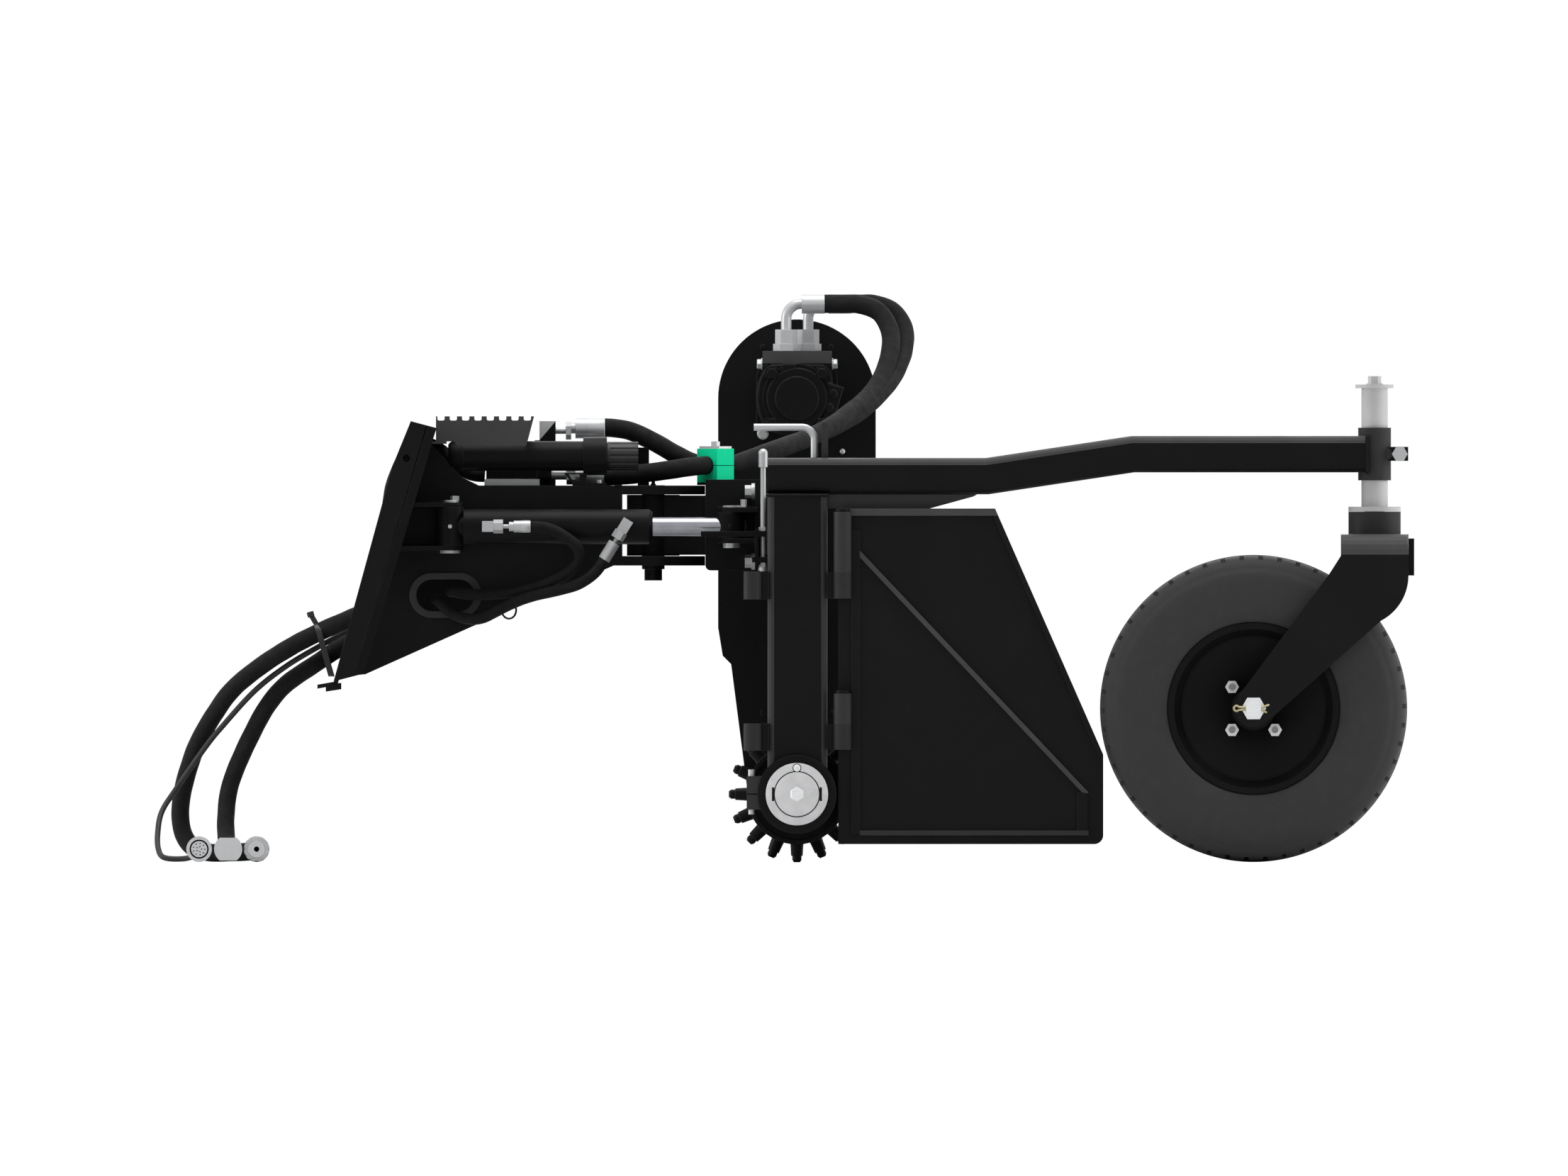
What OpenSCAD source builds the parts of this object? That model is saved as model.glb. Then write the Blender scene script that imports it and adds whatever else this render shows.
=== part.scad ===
// Power box rake: a toothed roller in an angling header, carried by a loader coupler and two casters
// X runs from the loader side to the casters, Y across the rake, Z up from the ground, in mm

/* [Shown part] */
// Sub-part to draw

/* [Coupler] */
// Width of the coupler plate
cpl_w = 1120; // [900:10:1200]
// Sheet thickness of the coupler plate
cpl_t = 8; // [5:1:12]
// Radius of the through hole in each side web
hole_r = 6.8; // [4:0.1:12]
// Width of the strip folded inward along the rear edge
fold_w = 20; // [10:1:30]

/* [Boom] */
// Half width of the boom, and radius of its round nose
boom_hw = 86.5; // [70:0.5:110]
// Thickness of the two cheek plates
cheek_t = 8; // [5:1:12]
// Top face of the boom
boom_top = 629.4; // [600:0.1:660]
// Underside of the boom at its nose
boom_bot = 495.6; // [480:0.1:520]
// Thickness of the two nose plates
nose_t = 15; // [10:0.5:20]
// Kingpin position from the middle of the rake
king_x = -355; // [-400:1:-300]
// Kingpin radius
king_r = 19; // [12:0.5:25]

/* [Angle cylinder] */
// Distance of the cylinder in front of the boom's middle
cyl_y = -150; // [-200:1:-130]
// Height of the cylinder's middle
cyl_z = 560.5; // [540:0.5:580]
// Base pin position
cyl_base_x = -694.5; // [-720:0.5:-680]
// Rod pin position
cyl_rod_x = -223.6; // [-240:0.1:-210]
// Outer radius of the barrel
barrel_r = 29.35; // [25:0.05:35]
// Bore radius of the barrel
barrel_bore = 25.4; // [20:0.1:30]
// Rod radius
rod_r = 15.875; // [12:0.005:20]
// Pin radius at both ends
pin_r = 12.7; // [10:0.1:16]

/* [Frame] */
// Half of the width over the two posts
half_w = 1000; // [800:10:1100]
// Side of the square posts and of the cross beam
post_w = 100; // [80:5:120]
// Wall of the posts, beam and arms
tube_t = 6; // [4:1:10]
// Left face of the posts
post_x = -164; // [-180:1:-150]
// Lower end of the posts
post_z0 = 158; // [140:1:180]
// Underside of the wheel arms
arm_z = 615; // [600:1:630]
// Height of the wheel arm tubes
arm_h = 61; // [50:1:80]
// Width of the wheel arm tubes
arm_w = 76; // [60:1:100]

/* [Roller] */
// Roller axis from the middle of the rake
roll_x = -115; // [-130:1:-100]
// Radius over the tooth tips, which is also the height of the axis
tip_r = 113.8; // [100:0.1:130]
// Outer radius of the drum
drum_r = 84; // [70:1:95]
// Wall of the drum
drum_t = 7; // [5:1:12]
// Rings of teeth along the drum
tooth_rings = 24; // [12:1:32]
// Teeth in each ring
ring_teeth = 8; // [4:4:8]

/* [Chain drive] */
// Chain pitch
pitch = 19.05; // [12.7:0.01:25.4]
// Teeth of the motor sprocket
motor_teeth = 29; // [20:1:32]
// Teeth of the roller sprocket
roller_teeth = 20; // [15:1:22]
// Outer radius of the case round the motor sprocket
case_r = 131.7; // [120:0.1:140]
// Outer radius of the case round the roller sprocket
case_foot_r = 82; // [75:0.5:90]

/* [Casters] */
// Tyre radius
tyre_r = 257; // [220:1:280]
// Tyre width
tyre_w = 203; // [150:1:220]
// Swivel axis from the middle of the rake
swivel_x = 849.8; // [800:0.1:900]
// Distance of the axle behind the swivel axis
trail = 202.1; // [150:0.1:250]
// Radius of the swivel spindle
spindle_r = 22; // [18:0.5:26]

/* [End panels] */
// Hinge axis from the middle of the rake
hinge_x = -38.7; // [-45:0.1:-30]
// Hinge axis from the middle plane
hinge_y = 1010; // [1000:1:1020]
// Radius of the drop-in hinge pins
hinge_r = 9; // [6:0.5:11]
// Sheet thickness
panel_t = 6; // [4:1:8]

/* [Hoses] */
// Radius of the motor hoses
hose_r = 14; // [10:0.5:16]
// Radius of the cylinder hoses
small_hose_r = 9.5; // [7:0.5:12]
// Radius of supply hose A
supply_a_r = 14.5; // [10:0.5:16]
// Radius of supply hose B
supply_b_r = 13.5; // [10:0.5:16]
// Radius of the control cable
cable_r = 3.7; // [2:0.1:6]

/* [Hidden] */
$fn = 64;
black = [0.12, 0.12, 0.13];
dark = [0.2, 0.2, 0.21];
zinc = [0.75, 0.77, 0.78];
chrome = [0.85, 0.87, 0.9];
rubber = [0.15, 0.15, 0.15];
green = [0.1, 0.84, 0.6];
roll_z = tip_r;
post_y = half_w - post_w / 2;
inner_y = half_w - post_w;
king_gap = 0.06;
barrel_out = 14.7;
panel_y = hinge_y - 15 - panel_t;
cheek_in = boom_hw - cheek_t;
// Coupler side outline, from the bottom left corner clockwise
cpl_foot = [-889, 302];
cpl_bend = [-790.6, 662];
cpl_top = [-760, 737];
cpl_rear = [-717, 725.5];
cpl_heel = [-839, 315];
rear_a = atan2(cpl_rear[1] - cpl_heel[1], cpl_rear[0] - cpl_heel[0]);
// Chain case
chain_c = 661.43;
motor_x = roll_x;
motor_z = roll_z + chain_c;
case_y0 = 838;
case_y1 = inner_y;
cover_t = 6;
chain_y = 868;
chain_roller_r = 5.6;
big_r = pitch / 2 / sin(180 / motor_teeth);
small_r = pitch / 2 / sin(180 / roller_teeth);
lean = asin((big_r - small_r) / chain_c);
big_links = (180 + 2 * lean) * motor_teeth / 360;
run_links = chain_c * cos(lean) / pitch;
small_links = (180 - 2 * lean) * roller_teeth / 360;
link_count = round(big_links + small_links + 2 * run_links);
first_small = ceil(big_links + run_links) - big_links - run_links;
roller_phase = 180 + lean + first_small * 360 / roller_teeth;
// Casters
wheel_x = swivel_x - trail;
fork_gap = 110;
fork_t = 12;

// Points through which the motor hoses run, from clamp to motor
motor_hose_front = [[-237, 34, 662.8], [-218, 53, 665], [-160, 130, 686], [-117, 220, 701],
  [-69, 330, 722], [-32, 430, 747], [4, 530, 777], [28, 610, 812], [41, 670, 855],
  [40, 708, 888], [22, 730, 919], [-12, 735, 932], [-45, 735, 933], [-69, 735, 933]];
motor_hose_rear = [[-237, 94, 662.8], [-215, 116, 666], [-155, 200, 688], [-104, 290, 706],
  [-54, 390, 728], [-12, 480, 752], [24, 575, 784], [50, 655, 820], [64, 715, 860],
  [63, 752, 894], [44, 771, 921], [14, 775, 932], [-8, 775, 933], [-24, 775, 933]];
// Feed hoses from the valve to the clamps on the yoke
feed_upper = [[-436, 30, 726], [-418, 30.3, 725], [-390, 32.5, 719], [-355, 36.5, 703],
  [-326, 40, 686], [-311, 41.5, 678], [-297, 45.2, 671], [-284, 51.2, 666], [-272, 59.2, 663.4],
  [-266.4, 64.6, 662.8]];
feed_lower = [[-436, -5, 645], [-420, -6.5, 645.5], [-390, -12, 647.5], [-360, -17, 651],
  [-326, -21, 655.7], [-311, -19.7, 658], [-297, -15.9, 660], [-284, -9.6, 661.6],
  [-272, -1, 662.6], [-266.4, 4.6, 662.8]];
// Cylinder hoses from the ports into the grommet
base_hose = [[-560, -193, 561], [-535, -194, 560], [-500, -196, 546], [-486, -192, 515],
  [-500, -180, 480], [-545, -158, 458], [-605, -134, 448], [-655, -112, 449], [-688, -88, 452],
  [-692, -60, 452]];
rod_hose = [[-437, -206, 506], [-447, -206, 490], [-468, -198, 464], [-510, -178, 442],
  [-560, -158, 430], [-620, -138, 425], [-675, -116, 430], [-712, -92, 438], [-718, -60, 440]];
// Free hoses and cable from the gland down to the couplers on the ground
supply_a = [[-838, -35, 417], [-862, -33, 407], [-916, -18, 383], [-969, -14, 355],
  [-1021, -6, 320], [-1060, 4, 286], [-1091, 16, 243], [-1119, 28, 191], [-1138, 38, 132],
  [-1145, 42, 85], [-1140, 36, 48], [-1124, 22, 25], [-1098, -2, 15], [-1064, -34, 15],
  [-1034, -68, 17], [-1019, -100, 21], [-1017.5, -125, 22]];
supply_b = [[-838, 35, 385], [-861, 33, 370], [-884, 26, 355], [-926, 16, 327],
  [-969, 14, 297], [-1001, 12, 259], [-1027, 4, 211], [-1051, -4, 159], [-1064, -12, 118],
  [-1069, -30, 74], [-1068, -62, 40], [-1065, -98, 24], [-1065, -125, 22]];
cable_run = [[-838, 0, 399], [-860, 0, 389], [-916, -2, 359], [-969, -4, 327], [-1021, -6, 286],
  [-1074, -8, 228], [-1104, -8, 191], [-1153, -12, 121], [-1176, -30, 84], [-1184, -58, 50],
  [-1183, -84, 23], [-1172, -100, 8], [-1140, -104, 6], [-1120, -116, 12], [-1113.5, -140, 22]];

// Shared shapes

module cyl_y(x, z, y0, y1, r) translate([x, y1, z]) rotate([90, 0, 0]) cylinder(h = y1 - y0, r = r);
module cyl_x(y, z, x0, x1, r) translate([x0, y, z]) rotate([0, 90, 0]) cylinder(h = x1 - x0, r = r);
module cyl_z(x, y, z0, z1, r) translate([x, y, z0]) cylinder(h = z1 - z0, r = r);
module hex_y(x, z, y0, y1, af) translate([x, y1, z]) rotate([90, 0, 0])
  cylinder(h = y1 - y0, r = af / sqrt(3), $fn = 6);
module hex_x(y, z, x0, x1, af) translate([x0, y, z]) rotate([0, 90, 0])
  cylinder(h = x1 - x0, r = af / sqrt(3), $fn = 6);
module hex_z(x, y, z0, z1, af) translate([x, y, z0]) cylinder(h = z1 - z0, r = af / sqrt(3), $fn = 6);
module block(x0, x1, y0, y1, z0, z1) translate([x0, y0, z0]) cube([x1 - x0, y1 - y0, z1 - z0]);

// A flat outline in X and Z, given its thickness across the rake
module upright(y0, y1) translate([0, y1, 0]) rotate([90, 0, 0]) linear_extrude(y1 - y0) children();

// Far side pieces are drawn at positive Y, and the near side is their mirror image
module side(s) mirror([0, s < 0 ? 1 : 0, 0]) children();

module rounded(w, h, r) {
  square([w - 2 * r, h], center = true);
  square([w, h - 2 * r], center = true);
  for (x = [-1, 1], y = [-1, 1]) translate([x * (w / 2 - r), y * (h / 2 - r)]) circle(r);
}

module oval(w, h) {
  square([w - h, h], center = true);
  for (x = [-1, 1]) translate([x * (w - h) / 2, 0]) circle(h / 2);
}

module tube_section(w, h, r, t) difference() {
  rounded(w, h, r);
  rounded(w - 2 * t, h - 2 * t, r - t / 2);
}

// The sheet between two outline points, with its thickness on the right of the way from p to q
module slab(p, q, t) {
  n = [q[1] - p[1], p[0] - q[0]] / norm(q - p);
  polygon([p, q, q + t * n, p + t * n]);
}

// A smooth curve through points, and a round tube along it
function unit(v) = v / norm(v);
function spline(a, b, c, d, t) = 0.5 * ((2 * b) + (c - a) * t + (2 * a - 5 * b + 4 * c - d) * t * t
  + (3 * b - a - 3 * c + d) * t * t * t);
function curve(p, steps) = let(n = len(p)) concat([for (i = [0:n - 2], k = [0:steps - 1])
  spline(p[max(i - 1, 0)], p[i], p[i + 1], p[min(i + 2, n - 1)], k / steps)], [p[n - 1]]);
function path_length(p) = len(p) < 2 ? 0 : [for (i = [0:len(p) - 2]) norm(p[i + 1] - p[i])]
  * [for (i = [0:len(p) - 2]) 1];
function tangents(p) = let(n = len(p)) [for (i = [0:n - 1]) unit(p[min(i + 1, n - 1)] - p[max(i - 1, 0)])];
function frames(t, u0) = [for (i = 0, u = unit(u0 - (u0 * t[0]) * t[0]); i < len(t);
  i = i + 1, u = i < len(t) ? unit(u - (u * t[i]) * t[i]) : u) u];
module hose(p, r, sides = 10, steps = 2, up = [0.1, 1, 0.2]) {
  c = curve(p, steps);
  t = tangents(c);
  u = frames(t, up);
  n = len(c);
  rings = [for (i = [0:n - 1], k = [0:sides - 1]) let(a = 360 * k / sides, w = cross(t[i], u[i]))
    c[i] + r * cos(a) * u[i] + r * sin(a) * w];
  skin = [for (i = [0:n - 2], k = [0:sides - 1], h = [0, 1]) let(m = (k + 1) % sides)
    h == 0 ? [i * sides + k, (i + 1) * sides + k, i * sides + m]
    : [i * sides + m, (i + 1) * sides + k, (i + 1) * sides + m]];
  ends = [[for (k = [0:sides - 1]) k], [for (k = [sides - 1:-1:0]) (n - 1) * sides + k]];
  polyhedron(points = rings, faces = concat(skin, ends), convexity = 4);
}

// Coupler and boom

module coupler_outline() polygon([cpl_foot, cpl_bend, cpl_top, cpl_rear, cpl_heel]);

module rear_fold() intersection() {
  translate([-856.3, cpl_w / 2, 310.5]) rotate([0, -rear_a, 0]) rotate([-26, 0, 0])
    translate([-20, -cpl_t, -fold_w]) cube([480, cpl_t, fold_w]);
  upright(cpl_w / 2 - 40, cpl_w / 2) coupler_outline();
}

module coupler_plate() color(black) difference() {
  upright(-cpl_w / 2 + cpl_t, cpl_w / 2 - cpl_t) {
    slab(cpl_foot, cpl_bend, cpl_t);
    slab(cpl_bend, cpl_top, cpl_t);
    slab(cpl_top, cpl_rear, cpl_t);
  }
  block(-905, -800, -170, 170, 338, 470);
  for (s = [-1, 1]) side(s) block(-900, -780, 240, 480, 380, 610);
}

module coupler_web(s) color(black) side(s) difference() {
  union() {
    upright(cpl_w / 2 - cpl_t, cpl_w / 2)
      polygon([cpl_foot, cpl_bend, cpl_top, [-734.3, 730.1], [-856.3, 310.5]]);
    rear_fold();
  }
  cyl_y(-767, 675, cpl_w / 2 - 40, cpl_w / 2 + 1, hole_r);
}
module coupler_webs() for (s = [-1, 1]) coupler_web(s);

// Lower ledges that the loader's wedges pass through, each with its bar
module coupler_ledges() color(black) for (s = [-1, 1]) side(s) difference() {
  upright(340, cpl_w / 2 - 20) {
    polygon([[-916, 290], [-881, 296.2], [-881, 303], [-916, 296.8]]);
    polygon([[-902, 285], [-876, 289], [-876, 300], [-902, 295.5]]);
  }
  block(-907, -891, 437, 477, 270, 320);
}

module cheek() {
  polygon([[-878.5, 310], [-783.1, 659.5], [-767, 699], [-726, 699], [-693, 664], [-674, 643],
    [-646, boom_top], [-406.5, boom_top], [-406.5, boom_bot], [-421, boom_bot], [-546, 441],
    [-657, 394], [-836, 314]]);
}

module nose_plate(z0, z1) difference() {
  union() {
    block(-421, -406, -cheek_in, cheek_in, z0, z1);
    block(-406.5, king_x, -boom_hw, boom_hw, z0, z1);
    cyl_z(king_x, 0, z0, z1, boom_hw);
  }
  cyl_z(king_x, 0, z0 - 1, z1 + 1, king_r);
}

module cylinder_ear(z0, z1) difference() {
  union() {
    block(-790, cyl_base_x, cyl_y - 22, -boom_hw, z0, z1);
    block(-790, cyl_base_x + 22, cyl_y, -boom_hw, z0, z1);
    cyl_z(cyl_base_x, cyl_y, z0, z1, 22);
  }
  cyl_z(cyl_base_x, cyl_y, z0 - 1, z1 + 1, pin_r);
}

module boom_cheeks() color(black) {
  difference() {
    upright(-boom_hw, -cheek_in) cheek();
    translate([-702, -boom_hw - 1, 446]) rotate([-90, 0, 0]) linear_extrude(12) oval(109, 63.5);
  }
  upright(cheek_in, boom_hw) cheek();
}

module boom() color(black) {
  block(-646, -420, -cheek_in, cheek_in, boom_top - 8, boom_top);
  nose_plate(boom_top - nose_t, boom_top);
  nose_plate(boom_bot, boom_bot + 15.9);
  cylinder_ear(594, 601);
  cylinder_ear(521, 528.5);
  // Hose support post on the boom
  block(-381, -362, 62, 80, boom_top - 1, 693);
}

module step_tread() color(dark) {
  teeth = 8;
  p = 20.6;
  for (y = [-146, -75, 0, 75, 146]) upright(y - 2, y + 2) difference() {
    low = abs(y) > 100 ? 695.7 : 705;
    polygon([[-718, 706], [-718, 745], [-554, 745], [-567, low], [-682, low], [-688, 703], [-716, 703]]);
    for (i = [0:teeth - 1]) translate([-709.5 + i * p, 745]) {
      translate([0, 2]) square([12, 12], center = true);
      translate([-3, -4]) circle(3);
      translate([3, -4]) circle(3);
      translate([0, -4]) square([6, 6], center = true);
    }
  }
  upright(-148, 148) polygon([[-564.4, 705], [-554.9, 741.5], [-558.9, 741.5], [-568.5, 705]]);
  block(-718, -714, -148, 148, 702, 737);
  block(-755, -700, -148, 148, 699, 703);
}

module manual_canister() color(black) {
  difference() {
    union() {
      cyl_x(-70, 678.6, -677.5, -472, 25);
      cyl_x(-70, 678.6, -472, -432.3, 32);
    }
    cyl_x(-70, 678.6, -672, -431, 22);
  }
  difference() {
    union() {
      upright(-84, -56) polygon([[-506, 652], [-474, 652], [-474, 633], [-490, 633]]);
      block(-490, -433, -84, -56, boom_top, 633.4);
      block(-474, -466, -84, -56, boom_top, 652);
    }
    upright(-90, -50) polygon([[-496, 648], [-478, 648], [-478, 637.4], [-489.5, 637.4]]);
    cyl_x(-70, 678.6, -510, -430, 31.5);
  }
  cyl_z(-446, -70, 633, 639, 5);
}

module canister_cap() color(dark) {
  cyl_x(-70, 678.6, -462, -431, 21.7);
  difference() {
    cyl_x(-70, 678.6, -432, -380, 24);
    for (a = [0:30:359]) translate([-427, -70, 678.6]) rotate([a, 0, 0])
      translate([0, 0, 25.5]) rotate([0, 90, 0]) cylinder(h = 60, r = 3);
  }
}

module hose_grommet() color(rubber) difference() {
  union() {
    translate([-702, -boom_hw - 5, 446]) rotate([-90, 0, 0]) linear_extrude(5) oval(121, 75.5);
    translate([-702, -boom_hw - 1, 446]) rotate([-90, 0, 0]) linear_extrude(10) oval(109, 63.5);
    translate([-702, -boom_hw + cheek_t, 446]) rotate([-90, 0, 0]) linear_extrude(4) oval(119, 73.5);
  }
  translate([-702, -boom_hw - 10, 446]) rotate([-90, 0, 0]) linear_extrude(30) oval(97, 53);
}

module hose_gland() color(dark) difference() {
  union() {
    block(-838, -828, -boom_hw + cheek_t, boom_hw - cheek_t, 352, 448);
    cyl_x(-35, 417, -838, -812, 19);
    cyl_x(35, 385, -838, -812, 18);
    cyl_x(0, 399, -838, -818, 8);
  }
  cyl_x(-35, 417, -820, -800, 9);
  cyl_x(35, 385, -820, -800, 9);
}

module valve_block() color(zinc) {
  block(-637, -545, -25, 62, boom_top, 640);
  difference() {
    block(-634, -549, -22, 60, 640, 688);
    for (x = [-618, -565]) cyl_z(x, 50, 680, 690, 4);
  }
  block(-553, -518, 12, 48, boom_top, 705);
  block(-545, -518, 12, 48, 705, 737);
  cyl_x(30, 721, -518, -501, 5.5);
  hex_x(30, 721, -501, -492, 26);
  cyl_x(30, 725, -492, -485, 9);
  cyl_x(30, 725.2, -485, -436.5, 17.4);
  hex_x(-5, 651, -549, -525, 30);
  cyl_x(-5, 648, -525, -500, 9);
  hex_x(-5, 647, -500, -485, 28);
  cyl_x(-5, 645.5, -485, -436.5, 15.2);
}

module kingpin() color(black) {
  cyl_z(king_x, 0, boom_bot - 6, boom_top + 0.5, king_r - 0.02);
  cyl_z(king_x, 0, 470.7, boom_bot - 5, 14.8);
  cyl_z(king_x, 0, boom_top, boom_top + 3, 4.5);
  cyl_z(king_x, 0, boom_top + 3, boom_top + 8, 3);
}

// Angle cylinder

module cylinder_base_pin() color(zinc) {
  cyl_z(cyl_base_x, cyl_y, 519, 604, pin_r - 0.03);
  cyl_z(cyl_base_x, cyl_y, 516, 521, 17);
  block(cyl_base_x - 8, cyl_base_x + 14, cyl_y - 8, cyl_y + 34, 601, 604.5);
  hex_z(cyl_base_x + 8, cyl_y + 26, 604.5, 612, 13);
}

module cylinder_barrel() color(dark) difference() {
  union() {
    cyl_z(cyl_base_x, cyl_y, 528.9, 593.6, 24);
    cyl_x(cyl_y, cyl_z, -672, -362, barrel_r);
    translate([-362, cyl_y, cyl_z]) rotate([0, 90, 0]) cylinder(h = 6, r1 = barrel_r, r2 = barrel_r - 4);
    cyl_x(cyl_y, cyl_z, cyl_base_x + 10, -660, 20);
  }
  cyl_z(cyl_base_x, cyl_y, 520, 600, pin_r + 0.04);
  cyl_x(cyl_y, cyl_z, -650, -366, barrel_bore);
  cyl_x(cyl_y, cyl_z, -370, -350, rod_r + 0.05);
}

module cylinder_ports() color(zinc) {
  y = cyl_y - barrel_r;
  block(-641, -622, y - 25, y + 1.5, 552, 570);
  hex_x(y - 13.5, 561, -622, -606, 20);
  cyl_x(y - 13.5, 561, -606, -596, 3.5);
  cyl_x(y - 13.5, 561, -596, -588, 8);
  cyl_x(y - 13.5, 561, -588, -560, 10);
  cyl_y(cyl_base_x, 561, cyl_y - 28, cyl_y - 23, 3.4);
  translate([-402, y - 26, 562.6]) rotate([0, 121.74, 0]) {
    translate([-11, -1, -9]) cube([23, 28, 18]);
    translate([12, 0, 0]) rotate([0, 90, 0]) cylinder(h = 14, r = 11, $fn = 6);
    translate([26, 0, 0]) rotate([0, 90, 0]) cylinder(h = 8, r = 4);
    translate([34, 0, 0]) rotate([0, 90, 0]) cylinder(h = 33, r = 10);
  }
}

module cylinder_rod() color(chrome) difference() {
  union() {
    cyl_x(cyl_y, cyl_z, -520, -240, rod_r);
    cyl_x(cyl_y, cyl_z, -520, -490, barrel_bore - 0.08);
    cyl_z(cyl_rod_x - 2.85, cyl_y + 2.05, 541.4, 584.6, 24);
    cyl_y(cyl_rod_x - 2.85, 561, cyl_y - 27, cyl_y - 20, 3.4);
  }
  cyl_z(cyl_rod_x - 2.85, cyl_y + 2.05, 530, 600, 17);
}

module cylinder_hoses() color(rubber) {
  hose(base_hose, small_hose_r);
  hose(rod_hose, small_hose_r);
}

// Header

module rod_ear(z0, z1) difference() {
  union() {
    block(-246, -180, cyl_y, -97, z0, z1);
    block(cyl_rod_x, -180, cyl_y - 22.4, cyl_y + 1, z0, z1);
    cyl_z(cyl_rod_x, cyl_y, z0, z1, 22.4);
  }
  cyl_z(cyl_rod_x, cyl_y, z0 - 1, z1 + 1, pin_r);
}

module yoke() color(black) {
  difference() {
    union() {
      cyl_z(king_x, 0, boom_bot + 16.4, boom_top - nose_t - 0.5, 44);
      for (s = [-1, 1]) side(s) block(-397, -261, 30, 40, 513.6, 612.8);
      block(king_x, -261, -40, 40, 513.6, 521.6);
      block(king_x, -261, -40, 40, 604.8, 612.8);
      block(-268, -260, -91, 91, 500, 634.5);
    }
    cyl_z(king_x, 0, 500, 620, king_r + king_gap);
  }
  for (s = [-1, 1]) side(s) upright(90, 98) difference() {
    union() {
      polygon([[-268, 497.5], [-262, 490], [-258, 487.5], [-182, 487.5], [-182, 639.4], [-268, 639.4]]);
      translate([-259, 496.5]) circle(9);
    }
    translate([-224, 563]) oval(50, 34);
  }
  block(-185, -179, -132, 132, 487.5, 639.4);
  block(-262, -182, -94, 94, boom_top, 634.6);
  for (y = [20, 80]) translate([-251, y, 632.35]) rotate([0, 0, 45]) cube([40, 47, 4.5], center = true);
  rod_ear(585, 593);
  rod_ear(533, 541);
  // Arm, pointer plate and bracket of the indicator rod
  difference() {
    union() {
      block(-185, -179, -232, -130, 495, 556);
      block(-275.5, -166, -232, -208, 544, 553);
      block(-190, -165, -232, -208, 501, 510);
    }
    cyl_z(-171.5, -220, 490, 560, 4.56);
  }
}

module yoke_bolts() color(zinc) for (y = [-114, 114], z = [503, 619]) {
  hex_x(y, z, -202, -191, 19);
  cyl_x(y, z, -191, -185, 14);
  cyl_x(y, z, -186, -167, 6);
}

module rod_pin() color(zinc) {
  cyl_z(cyl_rod_x, cyl_y, 528, 596, pin_r - 0.03);
  cyl_z(cyl_rod_x, cyl_y, 525, 533, 15);
  block(cyl_rod_x - 15, -200, cyl_y - 9, cyl_y + 9, 593, 595.5);
  hex_z(-204, cyl_y, 595.5, 606, 9);
}

module hose_clamps() for (y = [20, 80]) translate([-251, y, 0]) rotate([0, 0, 45]) {
  color(green) difference() {
    translate([-20, -23.5, 634.6]) cube([40, 47, 56.4]);
    translate([-21, 0, 662.8]) rotate([0, 90, 0]) cylinder(h = 42, r = hose_r + 0.2);
    translate([-21, -24, 662.3]) cube([42, 48, 1]);
  }
  color(zinc) {
    translate([-15, -23, 691]) cube([30, 46, 4]);
    hex_z(0, 0, 695, 703, 13);
  }
}

module indicator_rod() color(zinc) {
  cyl_z(-171.5, -220, 484, 668, 4.5);
  cyl_z(-171.5, -220, 660, 683, 7.75);
  translate([-171.5, -220, 683]) sphere(7.75);
  hex_z(-171.5, -220, 553.3, 560, 13);
  hex_z(-171.5, -220, 493, 500.7, 13);
  cyl_z(-171.5, -220, 487, 493, 8);
}

module cross_beam() color(black) {
  difference() {
    translate([post_x + post_w / 2, case_y0 - cover_t, 562]) rotate([90, 0, 0])
      linear_extrude(case_y0 - cover_t + inner_y) tube_section(post_w, post_w, 11, tube_t);
  }
  for (y = [-inner_y, case_y0 - cover_t - 6]) block(post_x + 8, post_x + post_w - 8, y, y + 6, 520, 604);
  block(-179, -163.5, -130, 130, 487.5, 639.4);
  for (s = [-1, 1]) side(s) upright(60, 68) polygon([[-120, 611], [-164, 639.4], [-172, 639.4], [-172, 611]]);
}

module mouldboard() color(black) {
  difference() {
    union() {
      upright(-inner_y + 1, case_y0 - cover_t - 1) {
        slab([-121, 512], [-121, 300], -6);
        slab([-121, 300], [-100, 245], -6);
      }
      for (y = [-600, -200, 200, 600]) upright(y - 4, y + 4)
        polygon([[-121, 512], [-160, 512], [-150, 400], [-121, 310]]);
    }
    block(-200, 0, -1000, 1000, 512, 520);
  }
}

module bearing_seat() difference() {
  upright(half_w - 14, half_w) difference() {
    union() {
      translate([roll_x, roll_z]) circle(66);
      translate([roll_x, 210]) square([92, 120], center = true);
    }
    translate([roll_x, roll_z]) circle(54);
  }
}

// One hinge socket: a drilled barrel on a lug from the post
module socket(x, z0, z1) difference() {
  union() {
    cyl_z(x, hinge_y, z0, z1, barrel_out);
    block(x < roll_x ? -180 : -66, x < roll_x ? -162 : -48, half_w - 25, half_w + 3, z0, z1);
  }
  cyl_z(x, hinge_y, z0 - 1, z1 + 1, hinge_r + 0.08);
}

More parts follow.
